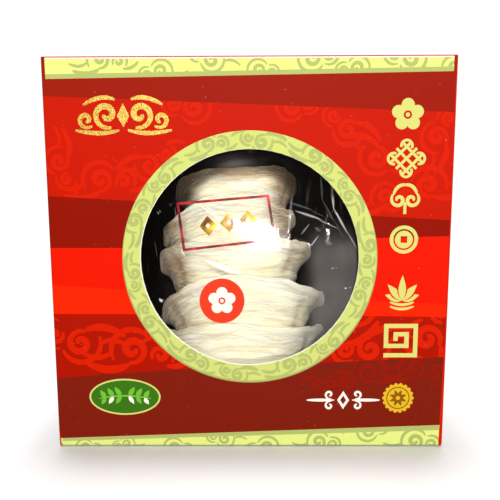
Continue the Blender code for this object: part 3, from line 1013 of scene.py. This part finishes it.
def nestPoint(rule, across, down, wall):
    # across runs 0 to 1 from ear to ear, down 0 to 1 from the rim to the base; arrays in mm
    turn = np.pi * (across - 0.5)
    fall = down * np.pi / 2
    reach = np.maximum(np.cos(fall), 0) ** nestForm["flare"]
    side = np.sin(turn)
    pinch = 1 - nestForm["pinch"] * smoothStep(0, nestForm["pinchEnd"], down) * side * side
    dropLeft, dropRight = rule["drop"]
    drop = np.where(side > 0, dropRight, dropLeft) * (1 - np.cos(turn)) * (1 - down) ** 1.5
    sway = rule["sway"] * np.sin(3 * turn + rule["x"]) * (1 - down) ** 2
    ripple = 0.35 * np.sin(11 * down + 2 * turn) * (1 - down)
    x = rule["x"] + (rule["width"] / 2 - wall + ripple) * reach * side * pinch
    y = rule["front"] + rule["depth"] - (rule["depth"] - wall + ripple) * reach * np.cos(turn)
    z = rule["base"] + rule["height"] - (rule["height"] - 0.9 * wall) * np.sin(fall) + sway - drop
    return np.stack([x, y, z], axis=-1)


def creaseShare(rule, across, down, crease):
    at, lean, depth, width = crease
    away = (across - at - lean * down) * np.pi * rule["width"] / 2
    return np.exp(-(away / width) ** 2) * smoothStep(0.0, 0.08, down)


def strandRelief(rule, across, down, seed):
    # height of the layered strands above the plain cup, mm, and the painted shade: darker in grooves and
    # creases, under the rim and on the sides
    turn = np.pi * (across - 0.5)
    reach = np.maximum(np.cos(down * np.pi / 2), 0) ** nestForm["flare"]
    along = turn * rule["width"] / 2 * (0.35 + 0.65 * reach)
    fallen = down * 84 + 3.0 * softNoise(along / 34, 0 * along + 0.4, seed + 6)
    drift = 2.2 * softNoise(along / 19, fallen / 8, seed) + 0.5 * softNoise(along / 7, fallen / 4, seed + 1)
    fine = softNoise(along / 7, (fallen + drift) / 0.6, seed + 2)
    strand = softNoise(along / 11, (fallen + drift) / 1.35, seed + 3)
    layer = softNoise(along / 20, (fallen + 1.6 * drift) / 5.2, seed + 4)
    fold = 1 - np.abs(softNoise(along / 26, (fallen + 2.4 * drift) / 10.0, seed + 5))
    relief = nestForm["fine"] * fine + nestForm["strand"] * strand
    relief = relief + nestForm["fold"] * (0.5 * layer + 0.6 * (fold ** 3 - 0.5))
    shade = nestShade
    # painted shade, darker where the strands sink
    paintedShadeAndTone = shade["plain"] - shade["fine"] * fine - shade["strand"] * strand - shade["layer"] * layer
    side = np.sin(turn)
    # painted shade on the left and right sides of each nest
    left, right = rule["paintedSideShade"]
    paintedShadeAndTone = paintedShadeAndTone + np.where(side < 0, left, right) * smoothStep(*shade["sides"], np.abs(side))
    # painted shade under the rim, strongest on the top nest
    paintedShadeAndTone = paintedShadeAndTone + rule["paintedRimShade"] * (1 - smoothStep(*shade["rim"], down))
    # creases sink the cup and get painted shade
    for crease in nestCreases[seed // 100]:
        share = creaseShare(rule, across, down, crease)
        relief = relief - crease[2] * share
        paintedShadeAndTone = paintedShadeAndTone + shade["crease"] * crease[2] * share
    return relief, np.clip(paintedShadeAndTone, 0, 1)


def rimLift(rule, across, down, seed):  # the uneven rim, with rounded ears
    along = np.pi * (across - 0.5) * rule["width"] / 2
    wave = softNoise(along / 11, 0 * along, seed + 9) + 0.4 * softNoise(along / 3.4, 0 * along, seed + 10)
    end = 1 - smoothStep(0, 0.12, np.minimum(across, 1 - across))
    return (1 - smoothStep(0, 0.16, down)) * (nestForm["rimWave"] * wave - nestForm["earRound"] * end)


def surfaceNormals(grid):
    normals = np.cross(np.gradient(grid, axis=1), np.gradient(grid, axis=0))
    return -normals / (np.linalg.norm(normals, axis=-1, keepdims=True) + 1e-9)


def nestBody(rule, seed):
    columns, rows = nestForm["columns"], nestForm["rows"]
    across, step = np.meshgrid(np.linspace(0, 1, columns + 1), np.linspace(0, 1, rows + 1))
    down = 0.985 * step ** 1.45
    ear = smoothStep(0, 0.05, np.minimum(across, 1 - across))
    thin = smoothStep(0, 0.11, down) * ear
    wall = nestForm["rimWall"] + (nestForm["wall"] - nestForm["rimWall"]) * thin
    skins = []
    for layer, thickness in ((0, 0.0 * wall), (1, wall)):
        grid = nestPoint(rule, across, down, thickness)
        relief, paintedShadeAndTone = strandRelief(rule, across, down, seed + 20 * layer)
        sign = 1 if layer == 0 else -0.7
        outward = surfaceNormals(grid)
        if outward[0, columns // 2, 1] > 0:
            outward = -outward
        calm = 0.35 + 0.65 * thin if layer == 0 else 0.3 + 0.7 * thin
        grid = grid + outward * (sign * relief * calm)[..., None]
        grid[..., 2] += rimLift(rule, across, down, seed)
        skins.append((grid, paintedShadeAndTone))
    return skins


def gridFaces(start, rows, columns, flip):
    faces = []
    for j in range(rows):
        for i in range(columns):
            high = start + j * (columns + 1) + i
            low = high + columns + 1
            quad = [low, low + 1, high + 1, high]
            faces.append(quad[::-1] if flip else quad)
    return faces


def nestStrands(rule, seed, count):
    # single strands that lie on the cup and cross it at a shallow slope
    picks = np.random.default_rng(seed + 50)
    points, faces, tones = [], [], []
    for _ in range(count):
        length = picks.uniform(0.10, 0.42)
        middle = picks.uniform(0.08, 0.92)
        downStart = picks.beta(1.0, 2.2) * 0.62
        slope = picks.normal(0, 0.028)
        steps = int(8 + 46 * length)
        share = np.linspace(-0.5, 0.5, steps)
        across = np.clip(middle + share * length, 0.004, 0.996)
        wander = 0.006 * np.sin(share * picks.uniform(5, 11) + picks.uniform(0, 6))
        down = np.clip(downStart + slope * share * 2 + wander, 0.0, 0.9)
        base = nestPoint(rule, across, down, 0 * across)
        relief, _ = strandRelief(rule, across, down, seed)
        centre = nestPoint(rule, across, down, 0 * across + 1.0)
        outward = base - centre
        outward /= np.linalg.norm(outward, axis=1, keepdims=True) + 1e-9
        radius = picks.uniform(0.06, 0.15)
        lift = relief + radius * 0.5 - 0.9 * (np.abs(share) * 2) ** 6
        line = base + outward * lift[:, None]
        line[:, 2] += rimLift(rule, across, down, seed)
        forward = np.gradient(line, axis=0)
        forward /= np.linalg.norm(forward, axis=1, keepdims=True) + 1e-9
        sideways = np.cross(forward, outward)
        thick = radius * (0.35 + 0.65 * np.cos(np.pi * share) ** 0.5)
        start = len(points)
        for k in range(steps):
            for corner in range(4):
                turn = math.pi / 2 * corner
                away = math.cos(turn) * outward[k] + math.sin(turn) * sideways[k]
                points.append(line[k] + thick[k] * away)
        for k in range(steps - 1):
            for corner in range(4):
                near, far = start + 4 * k, start + 4 * (k + 1)
                other = (corner + 1) % 4
                faces.append([near + corner, near + other, far + other, far + corner])
        faces.append([start + 3, start + 2, start + 1, start])
        faces.append([start + 4 * (steps - 1) + corner for corner in range(4)])
        tones += [picks.uniform(0.05, 0.5)] * (4 * steps)
    return points, faces, tones


nestStrand = {
    "pale": printed(255, 247, 220),
    "warm": printed(253, 239, 198),
    # the brown of the painted shade, also used for the fibre dashes
    "paintedShadeAndTone": printed(152, 112, 66),
    "glow": 0.45,
    "glowRadius": (2.6, 2.0, 1.3),  # mm
    "roughness": 0.58,
}


def nestFinish():
    made, tree, shader = newMaterial("driedStrand")
    paintedShadeAndTone = attributeOf(tree, "paintedShadeAndTone").outputs["Fac"]
    fine = noiseOf(tree, stretched(tree, 260, 260, 1900), 1.0, 3.0)
    broad = noiseOf(tree, stretched(tree, 40, 40, 150), 1.0, 2.0)
    dashes = noiseOf(tree, stretched(tree, 420, 420, 2100), 1.0, 1.0)
    base = blendColour(tree, remap(tree, broad, 0.35, 0.7), nestStrand["pale"], nestStrand["warm"])
    depth = calc(tree, "ADD", paintedShadeAndTone, calc(tree, "MULTIPLY", calc(tree, "SUBTRACT", fine, 0.5), 0.35))
    # painted shade: browner in grooves and creases, under the rim and on the sides; loose strands get a
    # random tone
    toned = blendColour(tree, remap(tree, depth, 0.42, 1.0, 0.0, 0.85), base, nestStrand["paintedShadeAndTone"])
    toned = blendColour(tree, remap(tree, dashes, 0.62, 0.8, 0.0, 0.26), toned, nestStrand["paintedShadeAndTone"])
    setShader(tree, shader, Base_Color=toned, Roughness=nestStrand["roughness"],
              Subsurface_Weight=nestStrand["glow"], Subsurface_Radius=nestStrand["glowRadius"],
              Subsurface_Scale=mm, Sheen_Weight=0.1, Specular_IOR_Level=0.3,
              Normal=bumpOf(tree, fine, 0.25, 0.0002))
    return made


def buildNest(number, rule, finish):
    seed = 100 * number
    columns, rows = nestForm["columns"], nestForm["rows"]
    (outer, outerPaintedShade), (inner, innerPaintedShade) = nestBody(rule, seed)
    count = (columns + 1) * (rows + 1)
    points = list(outer.reshape(-1, 3)) + list(inner.reshape(-1, 3))
    tones = list(outerPaintedShade.ravel()) + list(innerPaintedShade.ravel())
    faces = gridFaces(0, rows, columns, False) + gridFaces(count, rows, columns, True)
    for i in range(columns):
        faces.append([i, i + 1, count + i + 1, count + i])
        low = rows * (columns + 1)
        faces.append([count + low + i, count + low + i + 1, low + i + 1, low + i])
    for k in range(rows):
        near, far = k * (columns + 1), (k + 1) * (columns + 1)
        faces.append([near, count + near, count + far, far])
        faces.append([count + near + columns, near + columns, far + columns, count + far + columns])
    extra, extraFaces, extraTones = nestStrands(rule, seed, nestForm["looseStrands"])
    offset = len(points)
    points += extra
    faces += [[offset + index for index in face] for face in extraFaces]
    tones += extraTones
    piece = newPiece(f"nest{number}Strands", np.array(points) * mm, faces, [finish], smooth=True)
    pointValues(piece, "paintedShadeAndTone", tones)
    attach(piece, "carton")
    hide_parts(f"nest_{number}")
    return piece


driedStrand = nestFinish()
for number, rule in enumerate(nestStack, start=1):
    made = buildNest(number, rule, driedStrand)
    print("stage 5: nest", number, len(made.data.polygons), "faces")


# Film pouch: one crinkled sheet round the nests

pouchForm = {
    "left": -50.0, "right": 62.0, "front": -29.2, "lean": 0.06, "back": 27.0,
    "floor": 2.0, "baseRise": 5.0, "shoulder": 144.0, "top": 156.0, "corner": 15.0,
    "mouth": 2.0, "deepest": 56.0, "round": 300, "levels": 150, "girth": 336, "middle": (6.0, -1.0),
}
labelLift = 0.5  # mm between the pouch's plain front and what sticks on it
pouchCreases = [  # folds seen on the front, as start, end (x, z), depth and width in mm
    ((37.2, 122), (38.3, 109.7), 1.0, 2.2),
    ((38.3, 109.7), (50.5, 90.0), 1.2, 2.4),
    ((20.6, 109.3), (40.2, 102.8), 0.9, 2.0),
    ((25.3, 96.9), (44.0, 84.0), 0.8, 2.6),
    ((31.0, 98.0), (27.0, 92.0), 0.7, 1.6),
    ((-38.0, 118.0), (-34.5, 88.0), 0.7, 1.8),
    ((20.5, 116.0), (18.0, 92.0), 0.8, 1.8),
    ((-42.0, 80.0), (-34.0, 66.0), 1.0, 2.4),
]


def pouchFrontAt(height):
    return pouchForm["front"] + pouchForm["lean"] * height


def pouchGrid():
    form = pouchForm
    heights = np.linspace(form["floor"], form["top"], form["levels"] + 1)
    rise = form["top"] - form["shoulder"]
    rings = []
    for z in heights:
        low = np.clip((z - form["floor"]) / form["baseRise"], 0, 1)
        wide = 0.8 + 0.2 * math.sin(low * math.pi / 2)
        share = max((z - form["shoulder"]) / rise, 0) ** 1.25
        deep = wide * (1 - (1 - form["mouth"] / form["deepest"]) * share ** 1.6)
        front = pouchFrontAt(z)
        middleX, middleY = (form["left"] + form["right"]) / 2, (front + form["back"]) / 2
        halfWide = (form["right"] - form["left"]) / 2 * wide
        halfDeep = (form["back"] - front) / 2 * deep
        corner = min(form["corner"] * deep, halfDeep)
        rings.append(roundedRing(middleX, middleY, halfWide, halfDeep, corner, form["round"], z))
    return np.array(rings)


def roundedRing(middleX, middleY, halfWide, halfDeep, corner, count, z):
    straightX, straightY = halfWide - corner, halfDeep - corner
    arc = corner * math.pi / 2
    runs = [2 * straightX, arc, 2 * straightY, arc, 2 * straightX, arc, 2 * straightY, arc]
    total = sum(runs)
    ring = []
    for k in range(count):
        along = total * k / count
        side = 0
        while along > runs[side]:
            along -= runs[side]
            side += 1
        quarter, straight = side // 2, side % 2 == 0
        spin = math.pi / 2 * quarter
        reachOut = halfDeep if quarter % 2 == 0 else halfWide
        reachAlong = straightX if quarter % 2 == 0 else straightY
        if straight:
            x, y = -reachAlong + along, -reachOut
        else:
            turn = along / max(corner, 1e-6)
            x = reachAlong + corner * math.sin(turn)
            y = -(reachOut - corner) - corner * math.cos(turn)
        ring.append((middleX + x * math.cos(spin) - y * math.sin(spin),
                     middleY + x * math.sin(spin) + y * math.cos(spin), z))
    return ring


def creaseDepth(x, z, crease):
    (ax, az), (bx, bz), depth, width = crease
    length = math.hypot(bx - ax, bz - az)
    dx, dz = (bx - ax) / length, (bz - az) / length
    along = np.clip((x - ax) * dx + (z - az) * dz, 0, length)
    away = np.hypot(x - ax - along * dx, z - az - along * dz)
    return depth * np.maximum(1 - away / width, 0) ** 1.4


def buildPouch(finish):
    grid = pouchGrid()
    levels, count = grid.shape[0], grid.shape[1]
    x, y, z = grid[..., 0], grid[..., 1], grid[..., 2]
    around = np.arange(count)[None, :] * pouchForm["girth"] / count + 0 * z
    ridge = (1 - np.abs(softNoise(around / 15, z / 26, 71))) ** 5
    small = (1 - np.abs(softNoise(around / 6.5 + 3, z / 10, 72))) ** 6
    push = 0.8 * (ridge - 0.3) + 0.35 * (small - 0.25)
    onFront = y < pouchFrontAt(z) + 4
    for crease in pouchCreases:
        push = push + np.where(onFront, creaseDepth(x, z, crease), 0)
    underLabels = smoothStep(3, 9, np.hypot((x + 10.6) / 1.4, z - 104.4) - 16)
    underLabels = underLabels * smoothStep(0, 5, np.hypot(x + 13, z - 68.4) - 11)
    loose = 0.1 + 0.22 * smoothStep(24, 36, x)
    quiet = np.where(onFront, (0.1 + 0.9 * underLabels) * loose, 0.2)
    middleX, middleY = pouchForm["middle"]
    out = np.stack([x - middleX, y - middleY], axis=-1)
    out /= np.linalg.norm(out, axis=-1, keepdims=True)
    forward = np.where(onFront[..., None], np.array([0.0, -1.0]), out)
    grid[..., 0] += forward[..., 0] * push * quiet
    grid[..., 1] += forward[..., 1] * push * quiet
    # milky patches on the front, mostly a painted reflection
    reflectionHaze = np.where(onFront, reflectionHazeShare(x, z), 0.0)
    points = list(grid.reshape(-1, 3) * mm)
    faces = []
    for j in range(levels - 1):
        for i in range(count):
            k = (i + 1) % count
            faces.append([j * count + i, j * count + k, (j + 1) * count + k, (j + 1) * count + i])
    piece = newPiece("pouchFilm", points, faces, [finish], smooth=True)
    pointValues(piece, "reflectionHaze", reflectionHaze.ravel())
    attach(piece, "carton")
    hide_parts("pouch")
    return piece


def reflectionHazeShare(x, z):  # where the film hangs loose and is painted milky, mostly right of the nests: a painted reflection of its surroundings
    below = 104 - z
    share = smoothStep(-6, 15, below) * smoothStep(22, 34, x)
    share = share * (0.75 + 0.25 * smoothStep(0, 26, below)) * (1 - 0.2 * np.exp(-((z - 80) / 6) ** 2))
    fold = 0.75 * np.exp(-((x + 7) / 11) ** 2 - ((z - 132) / 4) ** 2)  # and a milky patch above the top nest
    return np.maximum(share, fold) * (0.85 + 0.15 * softNoise(x / 9, z / 7, 81))


pouchFilm = {
    "gloss": 0.4, "most": 0.14, "reflectionVeil": 0.25, "bump": 0.15,
    "colour": printed(180, 170, 166), "roughness": 0.08,
    # painted highlights along the film's creases, as start, end (x, z), width in mm and strength
    "creaseGlints": [
        ((37.4, 124.0), (38.6, 110.0), 0.9, 0.5), ((38.6, 111.0), (45.0, 99.5), 0.8, 0.5),
        ((44.5, 101.0), (50.5, 90.5), 0.6, 0.35), ((20.8, 110.0), (33.0, 106.0), 0.9, 0.4),
        ((30.0, 106.8), (41.0, 101.5), 0.6, 0.3), ((31.8, 98.6), (27.2, 92.6), 0.8, 0.35),
        ((36.0, 108.0), (33.0, 101.0), 0.5, 0.2), ((19.6, 118.0), (17.6, 100.0), 0.9, 0.22),
        ((-20.6, 87.2), (-4.2, 80.6), 1.5, 1.0), ((-9.0, 81.6), (6.0, 81.9), 0.9, 0.35),
        ((-24.6, 90.0), (-18.0, 84.6), 0.5, 0.3), ((-42.6, 69.0), (-41.0, 67.4), 0.9, 0.8),
        ((-42.4, 67.6), (-40.4, 68.6), 0.5, 0.7), ((-43.2, 109.8), (-42.0, 108.4), 0.5, 0.6),
        ((-41.8, 110.2), (-41.2, 109.4), 0.4, 0.5), ((-44.4, 96.0), (-43.2, 88.0), 0.35, 0.2),
        ((43.8, 74.0), (45.0, 74.2), 0.5, 0.8), ((46.2, 74.6), (46.8, 74.2), 0.4, 0.6),
        ((34.6, 96.4), (37.8, 94.4), 1.8, 0.25),
    ],
}


def filmFinish(name, look):
    # it shows what is behind it and mirrors more where it turns away; the light along its creases is a
    # painted highlight
    made, tree, shader = newMaterial(name)
    reflectionVeil = attributeOf(tree, "reflectionHaze").outputs["Fac"]
    fresnel = addNode(tree, "ShaderNodeFresnel", {"IOR": 1.5}).outputs["Fac"]
    gloss = calc(tree, "MINIMUM", calc(tree, "MULTIPLY", fresnel, look["gloss"]), look["most"])
    alpha = calc(tree, "ADD", gloss, calc(tree, "MULTIPLY", reflectionVeil, look["reflectionVeil"]))
    dust = placeGroup(tree, specks, Scale=230.0, Size=0.10, Rarity=0.66)["Mask"]
    # painted highlights along the creases, and dust
    lines = creaseMask(tree, look["creaseGlints"])
    marks = calc(tree, "MINIMUM", calc(tree, "MAXIMUM", lines, calc(tree, "MULTIPLY", dust, 0.4)), 1.0)
    alpha = calc(tree, "MAXIMUM", alpha, marks)
    # the haze's painted reflection, the painted crease highlights and the dust make the film milky and white
    reflectionGlintsAndDust = calc(tree, "MAXIMUM", calc(tree, "MULTIPLY", reflectionVeil, 1.6), calc(tree, "MULTIPLY", marks, 4.0))
    metal = calc(tree, "SUBTRACT", 1.0, calc(tree, "MINIMUM", reflectionGlintsAndDust, 1.0))
    ripple = noiseOf(tree, stretched(tree, 1, 1, 0.35), 70.0, 1.0)
    tone = blendColour(tree, calc(tree, "MINIMUM", calc(tree, "MULTIPLY", marks, 3.0), 1.0), look["colour"],
                       (0.95, 0.95, 0.95, 1))
    setShader(tree, shader, Base_Color=tone, Roughness=look["roughness"], Metallic=metal,
              Alpha=calc(tree, "MINIMUM", alpha, 1.0), Normal=bumpOf(tree, ripple, look["bump"], 0.0006))
    return made


buildPouch(filmFinish("pouchFilmFinish", pouchFilm))
print("stage 6: pouch")


# Grade label and round sticker on the pouch

gradeLabel = {
    "width": 47.0, "height": 29.0, "centre": (-10.6, 104.4), "turn": 4.8,
    "frame": ((-22.2, 11.5), (20.5, 11.4), (22.1, -9.9), (-21.3, -11.1)), "frameLine": 1.2,
    "marks": ((-8.6, -0.4), (1.0, 0.2), (9.9, 0.6)), "markHeight": 9.2, "markWidth": 8.2, "hollow": 0.3,
    "grid": 1.0, "wrinkle": 0.015,
    # painted highlights along the label's wrinkles
    "creaseGlints": [
        ((-24.0, 113.6), (-10.4, 103.6), 0.5, 0.8), ((-21.4, 113.2), (-9.6, 104.2), 0.35, 0.7),
        ((-26.4, 112.0), (-13.0, 101.8), 0.35, 0.35), ((-12.0, 104.0), (2.0, 97.6), 0.6, 0.8),
        ((-34.4, 112.0), (-31.6, 91.0), 0.7, 0.2), ((-31.6, 92.6), (-30.0, 89.0), 0.8, 0.5),
        ((13.4, 106.0), (14.2, 94.0), 0.5, 0.4),
    ],
}
roundSticker = {
    "diameter": 20.9, "centre": (-13.0, 68.4), "sides": 72, "thickness": 0.15, "blossom": 0.66,
    "paper": {"mottle": 0.08, "roughness": 0.5, "grain": 0.4, "wave": 1.0, "gloss": 0.1},
}


def foilFinish(name, light, dark, roughness):
    made, tree, shader = newMaterial(name)
    patches = noiseOf(tree, stretched(tree), 130.0, 1.0)
    tone = blendColour(tree, remap(tree, patches, 0.38, 0.62), dark, light)
    setShader(tree, shader, Base_Color=tone, Metallic=0.6, Roughness=roughness, Coat_Weight=1.0,
              Coat_Roughness=0.05, Normal=bumpOf(tree, patches, 0.3, 0.002))
    return made


def placeOnPouch(flat, centre, turn, bulge):
    spin = math.radians(turn)
    points = []
    for u, v in flat:
        x = centre[0] + u * math.cos(spin) - v * math.sin(spin)
        z = centre[1] + u * math.sin(spin) + v * math.cos(spin)
        points.append(Vector((x, pouchFrontAt(z) - labelLift - bulge(u, v), z)) * mm)
    return points


def buildLabel():
    look = gradeLabel
    art = Artwork()
    line = look["frameLine"]
    art.add("frame", look["frame"])
    art.add("clear", [(x - math.copysign(line, x), y - math.copysign(line, y)) for x, y in look["frame"]])
    for x, y in look["marks"]:
        w, h = look["markWidth"] / 2, look["markHeight"] / 2
        art.add("mark", lozenge((x, y), w, h))
        art.add("clear", lozenge((x, y), look["hollow"] * w, look["hollow"] * h))
    w, h, grid = look["width"] / 2, look["height"] / 2, look["grid"]
    guides = [((-w + grid * k, -h), (-w + grid * k, h)) for k in range(1, int(2 * w / grid))]
    guides += [((-w, -h + grid * k), (w, -h + grid * k)) for k in range(1, int(2 * h / grid))]
    flat, tris, colours = printSheet(art, "clear", oblong(-w, -h, w, h), guides)
    flats = [(float(u), float(v)) for u, v in flat]

    def bulge(u, v):  # small slanted wrinkles across the film
        wave = float(softNoise(np.array([(u + v) / 11.0]), np.array([(u - v) / 40.0]), 91)[0])
        return look["wrinkle"] * (1 - abs(wave)) ** 4

    slots = [{"clear": 0, "frame": 1, "mark": 2}[ink] for ink in colours]
    finishes = [
        filmFinish("labelFilm", {"gloss": 1.3, "most": 0.5, "reflectionVeil": 0.0, "colour": printed(235, 235, 240),
                                 "roughness": 0.06, "bump": 0.02, "creaseGlints": look["creaseGlints"]}),
        foilFinish("redFoil", printed(156, 6, 10), printed(60, 8, 10), 0.3),
        foilFinish("goldFoil", printed(208, 156, 34), printed(104, 64, 10), 0.26),
    ]
    piece = newPiece("gradeLabelFilm", placeOnPouch(flats, look["centre"], look["turn"], bulge), tris,
                     finishes, slots, smooth=True)
    piece.visible_shadow = False  # the real film lies on the nests, so its marks cast no shadow there
    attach(piece, "carton")
    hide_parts("grade_label")


def buildSticker():
    look = roundSticker
    radius, sides = look["diameter"] / 2, look["sides"]
    art = Artwork()
    plumBlossom(art, "white", (0, 0), look["blossom"] * radius)
    turns = [2 * math.pi * k / sides for k in range(sides)]
    outline = [(radius * math.cos(turn), radius * math.sin(turn)) for turn in turns]
    flat, tris, colours = printSheet(art, "stickerRed", outline, [])
    flats = [(float(u), float(v)) for u, v in flat]
    points = placeOnPouch(flats, look["centre"], 0.0, lambda u, v: 0.0)
    piece = newPiece("roundStickerPaper", points, tris, [sheetFinish("stickerPaper", look["paper"])],
                     [0] * len(tris), [inks[name] for name in colours])
    thick = piece.modifiers.new("thickness", "SOLIDIFY")
    thick.thickness = look["thickness"] * mm
    thick.offset = -1
    piece.visible_shadow = False
    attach(piece, "carton")
    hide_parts("round_sticker")


buildLabel()
buildSticker()
print("stage 7: label and sticker")


# Floor, lights and world

studio = {
    "floor": 0.87, "floorGlow": 0.30, "floorShade": 0.2, "floorHalf": 3.0, "floorDrop": 0.0002,
    "aim": (0, 0, 0.09), "keyPower": 18.2, "keyPlace": (-0.02, -1.15, 0.66), "keySize": (0.2, 0.2),
    "fillPower": 3.4, "fillPlace": (0.66, -1.1, 0.22), "fillSize": (0.3, 0.3),
    "rearPower": 9.0, "rearPlace": (1.0, 0.85, 0.5), "rearSize": (0.4, 0.4),  # one on each side
    "sunPower": 2.75, "sunFrom": (0.0, 0.12, 1.0), "sunSpread": 18,  # from above, a little behind
    "glares": [  # reflected in the label: spot (x, z) in mm, size, turn, power
        ((8.0, 97.6), (0.040, 0.027), -28, 0.2), ((0.6, 101.2), (0.058, 0.013), -28, 0.16),
    ],
    "glareAway": 0.5,
    "ambient": 0.06, "backdrop": 1.05, "mirrored": 0.06,  # the world as light, as seen and in gloss
}


def areaLight(name, place, target, size, power, turn=0.0):
    data = bpy.data.lights.new(name, "AREA")
    data.shape = "RECTANGLE"
    data.size, data.size_y = size
    data.energy = power
    light = bpy.data.objects.new(name, data)
    aim = (Vector(target) - Vector(place)).to_track_quat("-Z", "Y").to_matrix()
    light.matrix_world = (aim @ Matrix.Rotation(math.radians(turn), 3, "Z")).to_4x4()
    light.location = place
    bpy.context.scene.collection.objects.link(light)
    return light


def mixShaders(tree, factor, first, second):
    return addNode(tree, "ShaderNodeMixShader", {0: factor, 1: first.outputs[0], 2: second.outputs[0]})


def buildFloor():
    made, tree, shader = newMaterial("paleFloor")
    grain = noiseOf(tree, stretched(tree), 300.0, 2.0)
    white, worn = studio["floor"], 0.98 * studio["floor"]
    tone = blendColour(tree, remap(tree, grain, 0.3, 0.7), (white, white, white, 1), (worn, worn, worn, 1))
    setShader(tree, shader, Base_Color=tone, Roughness=0.9, Specular_IOR_Level=0.1)
    shade = studio["floorShade"]  # what the object sees of it, so that little light comes from below
    dark = addNode(tree, "ShaderNodeBsdfDiffuse", {"Color": (shade, shade, shade, 1)})
    path = addNode(tree, "ShaderNodeLightPath")
    glow = addNode(tree, "ShaderNodeEmission", {"Strength": studio["floorGlow"]})
    lit = addNode(tree, "ShaderNodeAddShader", {0: shader.outputs[0], 1: glow.outputs[0]})
    mix = mixShaders(tree, path.outputs["Is Camera Ray"], dark, lit)
    tree.links.new(mix.outputs[0], tree.nodes["Material Output"].inputs["Surface"])
    half = studio["floorHalf"]
    corners = [(x, y, 0) for x, y in oblong(-half, -half, half, half)]
    floor = newPiece("floor", corners, [[0, 1, 2, 3]], [made])
    floor.location.z = -studio["floorDrop"]
    return floor


def buildWorld():
    world = bpy.data.worlds.new("studio")
    bpy.context.scene.world = world
    world.use_nodes = True
    tree = world.node_tree
    tree.nodes.clear()
    path = addNode(tree, "ShaderNodeLightPath")
    soft, seen, mirrored = (
        addNode(tree, "ShaderNodeBackground", {"Color": (1, 1, 1, 1), "Strength": studio[name]})
        for name in ("ambient", "backdrop", "mirrored"))
    unseen = mixShaders(tree, path.outputs["Is Glossy Ray"], soft, mirrored)
    whole = mixShaders(tree, path.outputs["Is Camera Ray"], unseen, seen)
    addNode(tree, "ShaderNodeOutputWorld", {"Surface": whole.outputs[0]})


def buildLights(floor):
    middle = Vector(studio["aim"])
    lamps = [areaLight("key", studio["keyPlace"], middle, studio["keySize"], studio["keyPower"]),
             areaLight("fill", studio["fillPlace"], middle, studio["fillSize"], studio["fillPower"])]
    x, y, z = studio["rearPlace"]
    for place in ((-x, y, z), (x, y, z)):
        lamps.append(areaLight("rear", place, middle, studio["rearSize"], studio["rearPower"]))
    data = bpy.data.lights.new("above", "SUN")
    data.energy = studio["sunPower"]
    data.angle = math.radians(studio["sunSpread"])
    sun = bpy.data.objects.new("above", data)
    sun.matrix_world = Vector(studio["sunFrom"]).to_track_quat("Z", "Y").to_matrix().to_4x4()
    bpy.context.scene.collection.objects.link(sun)
    eye = Vector(cameraView["place"]) * mm
    facing = Vector((0, -1, 0.06)).normalized()
    for (x, z), size, turn, power in studio["glares"]:
        spot = Vector((x, pouchFrontAt(z) - labelLift, z)) * mm
        toEye = (eye - spot).normalized()
        mirror = 2 * facing.dot(toEye) * facing - toEye
        light = areaLight("glare", spot + mirror * studio["glareAway"], spot, size, power, turn)
        light.data.shape = "ELLIPSE"
        lamps.append(light)
    spared = bpy.data.collections.new("sparedByLamps")  # only the light from above falls on the floor
    spared.objects.link(floor)
    spared.collection_objects[0].light_linking.link_state = "EXCLUDE"
    for lamp in lamps:
        lamp.light_linking.receiver_collection = spared


floorPiece = buildFloor()
buildWorld()
buildLights(floorPiece)
bpy.context.scene.view_settings.view_transform = "Standard"
print("stage 8: floor, world and lights")
